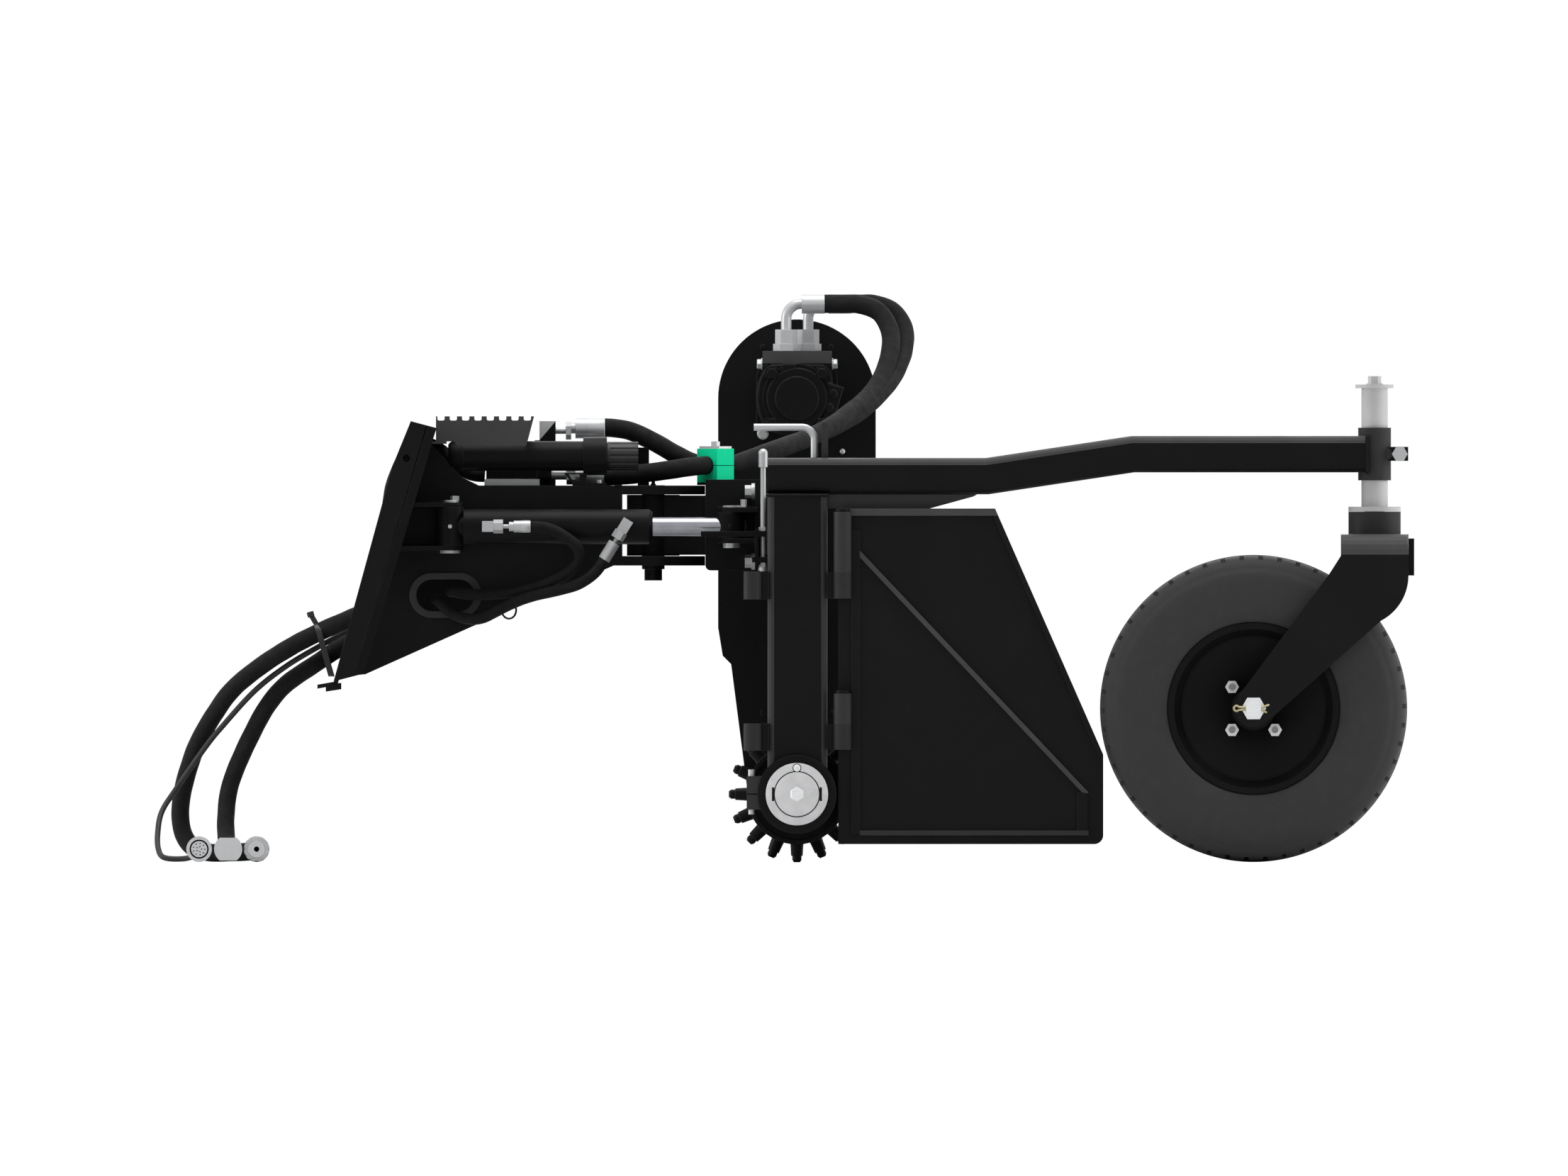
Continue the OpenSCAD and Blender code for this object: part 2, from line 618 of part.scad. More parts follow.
module post(s) color(black) side(s) {
  difference() {
    translate([post_x + post_w / 2, post_y, post_z0]) linear_extrude(arm_z - post_z0)
      tube_section(post_w, post_w, 11, tube_t);
    cyl_y(roll_x, roll_z, inner_y - 1, half_w + 1, 65.9);
  }
  difference() {
    translate([post_x + post_w / 2, post_y, 0]) {
      translate([0, 0, arm_z - 8]) linear_extrude(8) rounded(post_w - 4, post_w - 4, 9);
      translate([0, 0, 185]) linear_extrude(6) rounded(post_w - 4, post_w - 4, 9);
    }
  }
  // Drop-in hinge sockets, in use on the right and spare on the left
  for (z = [[440.6, 483.7], [188, 229.7]]) {
    socket(hinge_x, z[0], z[1]);
    socket(-189.3, z[0] - 1.5, z[1] + 2.3);
  }
}

module posts() for (s = [-1, 1]) post(s);

// Wheel arm: a tube that steps up towards the caster, with a split clamp sleeve at its end
bend_1 = [202.6, arm_z + arm_h / 2 - 0.5];
bend_2 = [446, bend_1[1] + 36.7];
arm_a = atan2(bend_2[1] - bend_1[1], bend_2[0] - bend_1[0]);

function corner_ring(w, h, r) = [for (c = [0:3], j = [0:4]) let(a = c * 90 + j * 22.5)
  [(c == 0 || c == 3 ? 1 : -1) * (w / 2 - r) + r * cos(a), (c < 2 ? 1 : -1) * (h / 2 - r) + r * sin(a)]];

// A bar of rounded section from one X to another, bent on mitre planes at both bends
module arm_bar(from, to, w, h, r) {
  ring = corner_ring(w, h, r);
  s = len(ring);
  at = [[from, bend_1[1], 0], [bend_1[0], bend_1[1], arm_a / 2], [bend_2[0], bend_2[1], arm_a / 2],
    [to, bend_2[1], 0]];
  points = [for (p = at, q = ring) [p[0] - q[1] * tan(p[2]), q[0], p[1] + q[1]]];
  skin = [for (i = [0:2], k = [0:s - 1]) let(m = (k + 1) % s)
    [i * s + k, (i + 1) * s + k, (i + 1) * s + m, i * s + m]];
  ends = [[for (k = [0:s - 1]) k], [for (k = [s - 1:-1:0]) 3 * s + k]];
  polyhedron(points = points, faces = concat(skin, ends), convexity = 4);
}

module wheel_arm(s) color(black) side(s) translate([0, post_y, 0]) {
  difference() {
    union() {
      difference() {
        arm_bar(post_x, 837, arm_w, arm_h, 12);
        arm_bar(post_x + 5, 815, arm_w - 2 * tube_t, arm_h - 2 * tube_t, 7);
      }
      cyl_z(swivel_x, 0, 638, 726, 27.5);
      block(swivel_x + 20, 906, -19, 19, 670.5, 694);
      // Upright tab and boss beside the hand pin
      block(-74, -63, -14, 14, arm_z + arm_h - 2, 735);
      cyl_z(-86, 0, arm_z + arm_h - 7, arm_z + arm_h, 11);
    }
    cyl_z(swivel_x, 0, 600, 800, spindle_r + 0.05);
    block(swivel_x + 15, 920, -1.5, 1.5, 630, 730);
    cyl_y(892, 682, -30, 30, 6.1);
    cyl_z(-86, 0, arm_z + arm_h - 20, arm_z + arm_h + 1, 6.06);
  }
  // Gusset under the arm
  upright(-24, 24) polygon([[post_x + post_w, arm_z + 2], [190, arm_z + 2], [180, arm_z - 4], [107, 591],
    [post_x + post_w, 591]]);
}

module clamp_bolt() {
  hex_y(892, 682, 19.5, 30, 22.8);
  cyl_y(892, 682, -28, 20, 6);
  hex_y(892, 682, -28, -19.5, 22.8);
}

module wheel_arm_near() {
  wheel_arm(-1);
  color(zinc) side(-1) translate([0, post_y, 0]) clamp_bolt();
}
module wheel_arm_far() {
  wheel_arm(1);
  color(zinc) side(1) translate([0, post_y, 0]) clamp_bolt();
}

module hand_pin(s) color(zinc) translate([0, s * post_y, 0]) {
  cyl_x(0, 726.6, -187, -107, 6);
  translate([-107, 0, 705.6]) rotate([90, 0, 0]) rotate_extrude(angle = 90) translate([21, 0]) circle(6);
  cyl_z(-86, 0, arm_z + arm_h - 14, 705.6, 6);
}
module hand_pin_near() hand_pin(-1);
module hand_pin_far() hand_pin(1);

// Roller and its drive

module case_outline(d) {
  translate([motor_x, motor_z]) circle(case_r - d);
  polygon([[motor_x - case_r + d, motor_z], [motor_x - case_r + d, 392], [-239 + d, 345],
    [-225 + d, 331], [roll_x - case_foot_r + d, roll_z], [roll_x + case_foot_r - d, roll_z],
    [-5 - d, 331], [9 - d, 345], [motor_x + case_r - d, 392], [motor_x + case_r - d, motor_z]]);
  translate([roll_x, roll_z]) circle(case_foot_r - d);
}

module drive_case() color(black) difference() {
  union() {
    difference() {
      upright(case_y0, case_y1) case_outline(0);
      upright(case_y0 - 1, case_y1 - 6) case_outline(6);
    }
    cyl_z(-114, 869, 890, 906.5, 9);
  }
  cyl_y(roll_x, roll_z, case_y1 - 10, case_y1 + 1, 34);
}

module drive_cover() color(black) difference() {
  union() {
    upright(case_y0 - cover_t, case_y0) case_outline(0);
    for (p = [[-191, 686.5], [-39, 686.5], [-191, 480], [-39, 480], [-172, 250], [-58, 250],
      [-172, 861], [-58, 861]])
      cyl_y(p[0], p[1], case_y0 - cover_t - 3, case_y0 - 1, 4.2);
  }
  cyl_y(roll_x, roll_z, case_y0 - 10, case_y0 + 1, 34);
  cyl_y(motor_x, motor_z, case_y0 - 10, case_y0 + 1, 41);
}

// Place along the chain, counted in links from where it meets the motor sprocket
function chain_at(s) = let(c = cos(lean), h = sin(lean), end = big_links + run_links + small_links)
  s < big_links ? let(a = s * 360 / motor_teeth - lean)
    [motor_x + big_r * cos(a), motor_z + big_r * sin(a)]
  : s < big_links + run_links ? let(f = (s - big_links) / run_links)
    (1 - f) * [motor_x - big_r * c, motor_z - big_r * h] + f * [roll_x - small_r * c, roll_z - small_r * h]
  : s < end ? let(a = 180 + lean + (s - big_links - run_links) * 360 / roller_teeth)
    [roll_x + small_r * cos(a), roll_z + small_r * sin(a)]
  : let(f = (s - end) / run_links)
    (1 - f) * [roll_x + small_r * c, roll_z - small_r * h] + f * [motor_x + big_r * c, motor_z - big_r * h];

module drive_chain() color(dark) {
  for (k = [0:link_count - 1]) {
    p = chain_at(k);
    q = chain_at(k + 1 == link_count ? 0 : k + 1);
    d = q - p;
    for (s = [-1, 1]) translate([p[0], chain_y + s * (k % 2 == 0 ? 8.2 : 11) + 1.3, p[1]]) rotate([90, 0, 0])
      rotate([0, 0, atan2(d[1], d[0])]) linear_extrude(2.6) {
        circle(8);
        translate([norm(d), 0]) circle(8);
        translate([0, -6.5]) square([norm(d), 13]);
      }
    cyl_y(p[0], p[1], chain_y - 12.5, chain_y + 12.5, 3);
    cyl_y(p[0], p[1], chain_y - 7, chain_y + 7, chain_roller_r);
  }
}

module sprocket(teeth, r, phase, bore) difference() {
  circle(r + 5);
  for (k = [0:teeth - 1]) rotate(phase + k * 360 / teeth) translate([r, 0]) {
    circle(chain_roller_r + 0.9);
    translate([5, 0]) circle(chain_roller_r + 2.3);
  }
  circle(bore);
}

module motor_sprocket() color(zinc) difference() {
  union() {
    translate([motor_x, chain_y + 5.7, motor_z]) rotate([90, 0, 0]) linear_extrude(11.4)
      sprocket(motor_teeth, big_r, -lean, 10);
    cyl_y(motor_x, motor_z, 845, 885, 34);
    cyl_y(motor_x, motor_z, 834, 850, 16);
  }
}

module roller_sprocket() color(zinc) difference() {
  union() {
    translate([motor_x, chain_y + 5.7, roll_z]) rotate([90, 0, 0]) linear_extrude(11.4)
      sprocket(roller_teeth, small_r, roller_phase, 26);
    cyl_y(motor_x, roll_z, 848, 888, 42);
  }
  cyl_y(roll_x, roll_z, 840, 890, 25);
}

module hydraulic_motor() color(dark) translate([motor_x, 0, motor_z]) {
  difference() {
    union() {
      upright(816, case_y0 - cover_t) rounded(136, 112, 20);
      cyl_y(0, 0, case_y0 - cover_t - 1, case_y0 - 1, 40.5);
      upright(704, 818) {
        circle(58);
        for (x = [-1, 1], z = [-1, 1]) translate([x * 41.5, z * 41.5]) circle(13);
      }
      cyl_y(0, 0, 696, 706, 50);
      cyl_y(0, 0, 690, 700, 36);
      block(-57.5, 58.5, 716, 796, 58, 79);
      block(-48, 48, 722, 790, 40, 60);
      cyl_y(46, -50, 720, 776, 15);
    }
    cyl_y(0, 0, case_y0 - 12, case_y0 + 1, 17);
    for (x = [-18.1, 18.6]) cyl_z(x, x < 0 ? 735 : 775, 70, 80, 10);
  }
  for (x = [-1, 1], z = [-1, 1]) hex_y(x * 41.5, z * 41.5, 694, 704.5, 16);
}

module bent_tube(x, y, len) {
  hex_z(x, y, 854, 866, 38);
  hex_z(x, y, 866, 890, 32);
  cyl_z(x, y, 889, 908, 8.7);
  translate([x + 25, y, 908]) rotate([90, 0, 0]) rotate([0, 0, 90]) rotate_extrude(angle = 90)
    translate([25, 0]) circle(8.7);
  cyl_x(y, 933, x + 24, x + 25 + len, 8.7);
  cyl_x(y, 933, x + 25 + len, x + 63 + len, 16.5);
}

module motor_ports() color(zinc) {
  bent_tube(-132.9, 735, 1);
  bent_tube(-96.2, 775, 9);
}

module motor_hoses() color(rubber) {
  hose(motor_hose_front, hose_r, 10, 1);
  hose(motor_hose_rear, hose_r, 10, 1);
  for (y = [20, 80]) translate([-251, y, 662.8]) rotate([0, 0, 45]) rotate([0, 90, 0])
    translate([0, 0, -20]) cylinder(h = 40.1, r = hose_r);
}

module feed_hoses() color(rubber) {
  hose(feed_upper, hose_r, 10, 1);
  hose(feed_lower, hose_r, 10, 1);
}

module bearing(s) {
  color(black) side(s) difference() {
    union() {
      cyl_y(roll_x, roll_z, 905, half_w + 12, 66);
      block(-199, roll_x, half_w - 18, half_w + 8, 88, 144);
    }
    cyl_y(roll_x, roll_z, 900, half_w + 4, 30);
    cyl_y(roll_x, roll_z, half_w + 3, half_w + 20, 53);
    block(-200, -160, half_w - 20, half_w + 10, 113, 115);
    cyl_y(roll_x, roll_z, 900, 930, 50);
  }
  color(zinc) side(s) {
    cyl_z(-191, half_w - 4, 80, 88, 5);
    cyl_z(-191, half_w - 4, 144, 155, 5.5);
  }
}
module bearing_housings() for (s = [-1, 1]) bearing(s);

// A welded tooth: a tapered holder with a round carbide tip
module tooth() {
  translate([0, 0, drum_r - 3]) cylinder(h = 22, r1 = 11.1, r2 = 9.8);
  translate([0, 0, drum_r + 18]) cylinder(h = tip_r - drum_r - 22, r = 7.8);
  translate([0, 0, tip_r - 4]) cylinder(h = 4, r1 = 7.8, r2 = 5);
}

drum_y0 = -inner_y + 7;
drum_y1 = case_y0 - cover_t - 6;
ring_gap = (drum_y1 - drum_y0 - 60) / (tooth_rings - 1);
module roller_drum() color(black) {
  difference() {
    cyl_y(roll_x, roll_z, drum_y0, drum_y1, drum_r);
    cyl_y(roll_x, roll_z, drum_y0 - 1, drum_y0 + 12, drum_r - drum_t);
    cyl_y(roll_x, roll_z, drum_y1 - 12, drum_y1 + 1, drum_r - drum_t);
    cyl_y(roll_x, roll_z, drum_y0 + 22, drum_y1 - 22, drum_r - drum_t);
    cyl_y(roll_x, roll_z, drum_y0 - 1, drum_y1 + 1, 25);
  }
  for (i = [0:tooth_rings - 1], k = [0:ring_teeth - 1])
    translate([roll_x, drum_y0 + 30 + i * ring_gap, roll_z])
      rotate([0, (i % 2) * 22.5 + k * 360 / ring_teeth, 0]) tooth();
}

module roller_shaft() color(zinc) {
  cyl_y(roll_x, roll_z, -half_w - 6, half_w + 6, 24.96);
  for (s = [-1, 1]) side(s) {
    cyl_y(roll_x, roll_z, half_w + 5, half_w + 10, 52.4);
    difference() {
      cyl_y(roll_x, roll_z, half_w + 9, half_w + 15, 37.4);
      for (x = [roll_x - 38, roll_x + 38])
        block(x - 4, x + 4, half_w + 8, half_w + 16, roll_z - 10, roll_z + 10);
    }
    hex_y(roll_x, roll_z, half_w + 14, half_w + 22, 20);
    cyl_y(roll_x, roll_z + 44, half_w + 9, half_w + 12, 4);
  }
}

// Casters

module fork_plate() {
  polygon([[793.5, 548], [906.5, 548], [906.5, 479], [860.8, 403.5], [668, 232.5], [647, 257],
    [622, 277], [774.7, 482.5], [793.5, 512]]);
  intersection() {
    translate([821.3, 479]) circle(85.2);
    translate([860, 395]) square([50, 90]);
  }
  translate([wheel_x, tyre_r]) circle(31.5);
}

module fork(s) color(black) side(s) translate([0, post_y, 0]) {
  difference() {
    union() {
      for (m = [-1, 1]) side(m) upright(fork_gap, fork_gap + fork_t) fork_plate();
      block(793.5, 906.5, -fork_gap - 1, fork_gap + 1, 536, 548);
      block(793.5, 801.5, -fork_gap - 1, fork_gap + 1, 512, 540);
      block(900, 906.5, -fork_gap - 1, fork_gap + 1, 512, 540);
      cyl_z(swivel_x, 0, 546, 585.7, 43.7);
      block(905, 916, -30, 30, 479, 541);
    }
    cyl_y(wheel_x, tyre_r, -fork_gap - 20, fork_gap + 20, 12.7);
    cyl_z(swivel_x, 0, 530, 600, 17.06);
  }
}
module fork_near() fork(-1);
module fork_far() fork(1);

module spindle(s) color(zinc) translate([0, s * post_y, 0]) {
  cyl_z(swivel_x, 0, 593, 792, spindle_r);
  cyl_z(swivel_x, 0, 586, 594, 43.7);
  cyl_z(swivel_x, 0, 525, 590, 17);
  cyl_z(swivel_x, 0, 524, 535.7, 24);
  cyl_z(swivel_x, 0, 792, 798, 32);
  cyl_z(swivel_x, 0, 798, 800, 14);
  hex_z(swivel_x, 0, 800, 812, 19);
}
module spindle_near() spindle(-1);
module spindle_far() spindle(1);

module axle(s) color(zinc) side(s) translate([0, post_y, 0]) {
  cyl_y(wheel_x, tyre_r, -fork_gap - fork_t - 2, fork_gap + fork_t + 20, 12.66);
  hex_y(wheel_x, tyre_r, fork_gap + fork_t, fork_gap + fork_t + 14, 36);
  hex_y(wheel_x, tyre_r, -fork_gap - fork_t - 12, -fork_gap - fork_t, 36);
}
module axle_near() axle(-1);
module axle_far() axle(1);

module turned(s) side(s) translate([wheel_x, post_y, tyre_r]) rotate([-90, 0, 0]) rotate_extrude() children();

module rim(s) {
  color(black) turned(s) difference() {
    union() {
      polygon([[118, -92], [143, -92], [143, -86], [127.9, -80], [127.9, 80], [143, 86], [143, 92],
        [118, 92]]);
      polygon([[30, 38], [119, 62], [119, 70], [30, 46]]);
      square([36, 109.6]);
      translate([0, -109.6]) square([36, 109.6]);
      translate([30, 30]) square([50, 16]);
    }
    translate([-1, -120]) square([13.74, 240]);
    polygon([[138, -100], [121, -75], [121, 62], [100, 56], [100, -100]]);
    polygon([[138, 100], [121, 75], [121, 71], [100, 66], [100, 100]]);
  }
  color(zinc) side(s) for (x = [-1, 1], z = [-1, 1])
    translate([wheel_x + x * 35.9, post_y, tyre_r + z * 35.9]) {
      hex_y(0, 0, 44, 60, 20);
      cyl_y(0, 0, 58, 68, 5.5);
    }
}
module rim_near() rim(-1);
module rim_far() rim(1);

module tyre(s) color(rubber) turned(s) difference() {
  union() {
    translate([0, -tyre_w / 2 + 34]) square([tyre_r, tyre_w - 68]);
    translate([0, -tyre_w / 2]) square([215, tyre_w]);
    for (y = [-1, 1]) translate([tyre_r - 36, y * (tyre_w / 2 - 34)]) intersection() {
      circle(34);
      translate([-40, -40]) square([80, 80]);
    }
    polygon([[215, -tyre_w / 2], [tyre_r - 36, -tyre_w / 2], [tyre_r - 14, -tyre_w / 2 + 12],
      [tyre_r, -tyre_w / 2 + 34], [tyre_r, tyre_w / 2 - 34], [tyre_r - 14, tyre_w / 2 - 12],
      [tyre_r - 36, tyre_w / 2], [215, tyre_w / 2]]);
  }
  translate([-1, -150]) square([129.2, 300]);
  for (y = [-1, 1]) translate([100, y > 0 ? 78 : -130]) square([44, 52]);
}
module tyre_near() tyre(-1);
module tyre_far() tyre(1);

// End panels

module end_panel(s) color(black) side(s) {
  y = panel_y;
  difference() {
    union() {
      upright(y, y + panel_t) {
        polygon([[-46, 30.4], [-46, 591], [216, 591], [396.6, 180], [396.6, 45.4], [381.6, 30.4]]);
        translate([381.6, 45.4]) circle(15);
      }
      upright(y, y + 14) {
        polygon([[-46, 579], [-46, 591], [216, 591], [221.3, 579]]);
        slab([216, 591], [396.6, 180], 8);
      }
      upright(y, y + 12) {
        translate([-24, 48]) square([14, 506]);
        slab([-9, 520], [372, 117], 8);
        translate([-10, 45]) square([382, 8]);
        translate([353, 47]) square([17, 70]);
      }
      for (z = [[484, 585.5], [230, 282]]) {
        cyl_z(hinge_x, hinge_y, z[0], z[1], barrel_out);
        block(-46, -32, y + 1, hinge_y - 2, z[0], z[1]);
      }
    }
    cyl_z(hinge_x, hinge_y, 20, 600, hinge_r + 0.03);
    for (z = [[430, 484], [180, 230]]) cyl_z(hinge_x, hinge_y, z[0], z[1], barrel_out + 0.3);
  }
}
module end_panel_near() end_panel(-1);
module end_panel_far() end_panel(1);

module panel_pins(s) color(zinc) side(s) for (z = [[441, 585.5], [188.5, 282]]) {
  cyl_z(hinge_x, hinge_y, z[0], z[1] + 1, hinge_r);
  cyl_z(hinge_x, hinge_y, z[1], z[1] + 5, 12);
}
module panel_pins_near() panel_pins(-1);
module panel_pins_far() panel_pins(1);

// Free hoses, cable and their connectors

module supply_hose_a() color(rubber) hose(supply_a, supply_a_r, 8, 1);
module supply_hose_b() color(rubber) hose(supply_b, supply_b_r, 8, 2);
module control_cable() color(rubber) hose(cable_run, cable_r, 8, 2);

coupler_a_x = -1017.5;
coupler_b_x = -1065;
plug_x = -1113.5;

module hose_couplers() color(zinc) {
  for (x = [coupler_a_x, coupler_b_x]) {
    cyl_y(x, 22, -148, -125, 16.5);
    hex_y(x, 22, -160, -148, 34);
  }
  // Scalloped sleeve with an open bore, and a flat-sided one with its cap on
  difference() {
    union() {
      cyl_y(coupler_a_x, 22, -188, -159, 21.5);
      cyl_y(coupler_a_x, 22, -200, -187, 14);
    }
    for (a = [0:30:359])
      cyl_y(coupler_a_x + 23.6 * cos(a), 22 + 23.6 * sin(a), -190, -170, 4.2);
    cyl_y(coupler_a_x, 22, -201, -165, 4.5);
  }
  intersection() {
    cyl_y(coupler_b_x, 22, -200, -159, 23.5);
    block(coupler_b_x - 30, coupler_b_x + 30, -201, -158, 3, 41);
  }
}

module cable_plug() color(zinc) {
  cyl_y(plug_x, 22, -161, -140, 12);
  difference() {
    cyl_y(plug_x, 22, -200, -160, 21.3);
    difference() {
      cyl_y(plug_x, 22, -201, -196, 16);
      cyl_y(plug_x, 22, -202, -190, 13.4);
    }
    for (a = [0:40:359]) cyl_y(plug_x + 9.6 * cos(a), 22 + 9.6 * sin(a), -201, -195, 1.1);
    for (a = [0:72:359]) cyl_y(plug_x + 4.2 * cos(a), 22 + 4.2 * sin(a), -201, -195, 1.1);
  }
}

echo(lengths = [for (p = [supply_a, supply_b, cable_run]) path_length(curve(p, 8))]);
echo(links = link_count, exact = big_links + small_links + 2 * run_links);

coupler_plate();
coupler_webs();
coupler_ledges();
boom();
boom_cheeks();
step_tread();
manual_canister();
canister_cap();
hose_grommet();
hose_gland();
valve_block();
kingpin();
cylinder_base_pin();
cylinder_barrel();
cylinder_ports();
cylinder_rod();
cylinder_hoses();
feed_hoses();
yoke();
yoke_bolts();
rod_pin();
hose_clamps();
indicator_rod();
cross_beam();
mouldboard();
posts();
wheel_arm_near();
wheel_arm_far();
hand_pin_near();
hand_pin_far();
drive_case();
drive_cover();
drive_chain();
motor_sprocket();
roller_sprocket();
hydraulic_motor();
motor_ports();
motor_hoses();
bearing_housings();
roller_drum();
roller_shaft();
fork_near();
fork_far();
spindle_near();
spindle_far();
axle_near();
axle_far();
rim_near();
rim_far();
tyre_near();
tyre_far();
end_panel_near();
end_panel_far();
panel_pins_near();
panel_pins_far();
supply_hose_a();
supply_hose_b();
control_cable();
hose_couplers();
cable_plug();
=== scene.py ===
import math

import bmesh
import bpy
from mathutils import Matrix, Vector, noise


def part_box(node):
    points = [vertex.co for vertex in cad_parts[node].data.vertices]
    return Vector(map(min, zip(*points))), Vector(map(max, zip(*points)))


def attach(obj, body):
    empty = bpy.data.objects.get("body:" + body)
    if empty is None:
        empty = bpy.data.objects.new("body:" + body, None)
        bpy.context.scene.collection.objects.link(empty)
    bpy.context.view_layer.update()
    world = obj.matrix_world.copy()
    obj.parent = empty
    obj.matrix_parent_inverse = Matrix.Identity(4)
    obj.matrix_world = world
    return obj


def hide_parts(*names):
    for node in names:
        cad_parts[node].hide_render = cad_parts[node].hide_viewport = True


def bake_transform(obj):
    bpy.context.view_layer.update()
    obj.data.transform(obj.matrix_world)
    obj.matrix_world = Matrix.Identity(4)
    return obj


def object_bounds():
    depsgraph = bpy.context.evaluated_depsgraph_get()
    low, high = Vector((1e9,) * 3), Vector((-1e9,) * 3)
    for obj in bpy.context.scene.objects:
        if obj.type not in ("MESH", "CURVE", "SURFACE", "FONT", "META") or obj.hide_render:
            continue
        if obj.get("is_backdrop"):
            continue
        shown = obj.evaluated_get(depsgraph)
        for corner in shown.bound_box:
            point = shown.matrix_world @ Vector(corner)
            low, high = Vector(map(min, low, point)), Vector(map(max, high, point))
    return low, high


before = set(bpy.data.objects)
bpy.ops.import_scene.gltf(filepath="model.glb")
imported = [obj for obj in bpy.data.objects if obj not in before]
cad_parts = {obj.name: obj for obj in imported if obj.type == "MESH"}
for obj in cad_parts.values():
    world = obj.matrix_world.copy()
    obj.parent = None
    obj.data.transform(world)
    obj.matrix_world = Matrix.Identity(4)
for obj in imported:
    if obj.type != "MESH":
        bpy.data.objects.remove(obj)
cadBox = [list(corner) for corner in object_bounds()]
scene = bpy.context.scene
mm = 0.001

photo = {
    "width": 2.619,  # how much the picture spans, with no perspective at all
    "middleX": -0.1366,
    "middleZ": 0.4582,
    "away": 12.0,
}


def makeCamera():
    data = bpy.data.cameras.new("sideCamera")
    data.type, data.ortho_scale = "ORTHO", photo["width"]
    data.clip_start, data.clip_end = 0.5, 40.0
    camera = bpy.data.objects.new("sideCamera", data)
    camera.location = (photo["middleX"], -photo["away"], photo["middleZ"])
    camera.rotation_euler = (math.radians(90), 0, 0)
    scene.collection.objects.link(camera)
    scene.camera = camera


makeCamera()


def addPiece(name, mesh, body, material, smooth=True):
    # body is the moving part the piece rides on
    piece = bpy.data.objects.new(name, mesh)
    scene.collection.objects.link(piece)
    mesh.materials.append(material)
    if smooth:
        mesh.polygons.foreach_set("use_smooth", [True] * len(mesh.polygons))
    if body:
        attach(piece, body)
    return piece


def routeThrough(points, spacing):
    # even points on the same curve that the hose solids follow, and the curve's whole length
    p = [Vector(q) * mm for q in points]
    fine, steps = [], 24
    for i in range(len(p) - 1):
        a, b, c, d = p[max(i - 1, 0)], p[i], p[i + 1], p[min(i + 2, len(p) - 1)]
        for k in range(steps):
            t = k / steps
            fine.append(0.5 * (2 * b + (c - a) * t + (2 * a - 5 * b + 4 * c - d) * t * t
                               + (3 * b - a - 3 * c + d) * t ** 3))
    fine.append(p[-1])
    runs = [0.0]
    for a, b in zip(fine, fine[1:]):
        runs.append(runs[-1] + (b - a).length)
    count = max(4, round(runs[-1] / spacing))
    line, at = [], 0
    for k in range(count + 1):
        want = runs[-1] * k / count
        while at < len(runs) - 2 and runs[at + 1] < want:
            at += 1
        span = runs[at + 1] - runs[at]
        line.append(fine[at].lerp(fine[at + 1], (want - runs[at]) / span if span else 0))
    return line, runs[-1]


def framesAlong(line, start=Vector((0.1, 1, 0.2))):
    # at every point a pair of directions square to the line, turning as little as they can
    last = len(line) - 1
    tangents = [(line[min(i + 1, last)] - line[max(i - 1, 0)]).normalized() for i in range(last + 1)]
    side, out = start, []
    for t in tangents:
        side = (side - side.dot(t) * t).normalized()
        out.append((side, t.cross(side)))
    return out


def finished(bm, name, sharp=180.0):
    # the form as a mesh, where every edge that turns by more than sharp degrees stays hard
    bmesh.ops.recalc_face_normals(bm, faces=bm.faces)
    for edge in bm.edges:
        if len(edge.link_faces) == 2 and edge.calc_face_angle(0) > math.radians(sharp):
            edge.smooth = False
    mesh = bpy.data.meshes.new(name)
    bm.to_mesh(mesh)
    bm.free()
    return mesh


def circle(count):
    # the angles of so many points round a circle
    return [2 * math.pi * k / count for k in range(count)]


def tubeMesh(name, line, radius, sides=32, wobble=0.0, seed=0):
    # a closed tube along the line, with UVs in metres along it and round it
    bm = bmesh.new()
    uv = bm.loops.layers.uv.new("along")
    rings, runs = [], [0.0]
    for a, b in zip(line, line[1:]):
        runs.append(runs[-1] + (b - a).length)
    for point, (u, w), run in zip(line, framesAlong(line), runs):
        ring = []
        for angle in circle(sides):
            out = math.cos(angle) * u + math.sin(angle) * w
            lump = noise.noise(Vector((run * 38 + seed, math.cos(angle), math.sin(angle)))) if wobble else 0
            ring.append(bm.verts.new(point + out * radius * (1 - wobble + wobble * lump)))
        rings.append(ring)
    around = 2 * math.pi * radius
    for i in range(len(rings) - 1):
        for k in range(sides):
            m = (k + 1) % sides
            face = bm.faces.new((rings[i][k], rings[i][m], rings[i + 1][m], rings[i + 1][k]))
            marks = [(runs[i], k), (runs[i], k + 1), (runs[i + 1], k + 1), (runs[i + 1], k)]
            for loop, (run, turn) in zip(face.loops, marks):
                loop[uv].uv = (run, around * turn / sides)
    for ring, order in ((rings[0], -1), (rings[-1], 1)):
        bm.faces.new(ring[::order])
    return finished(bm, name)


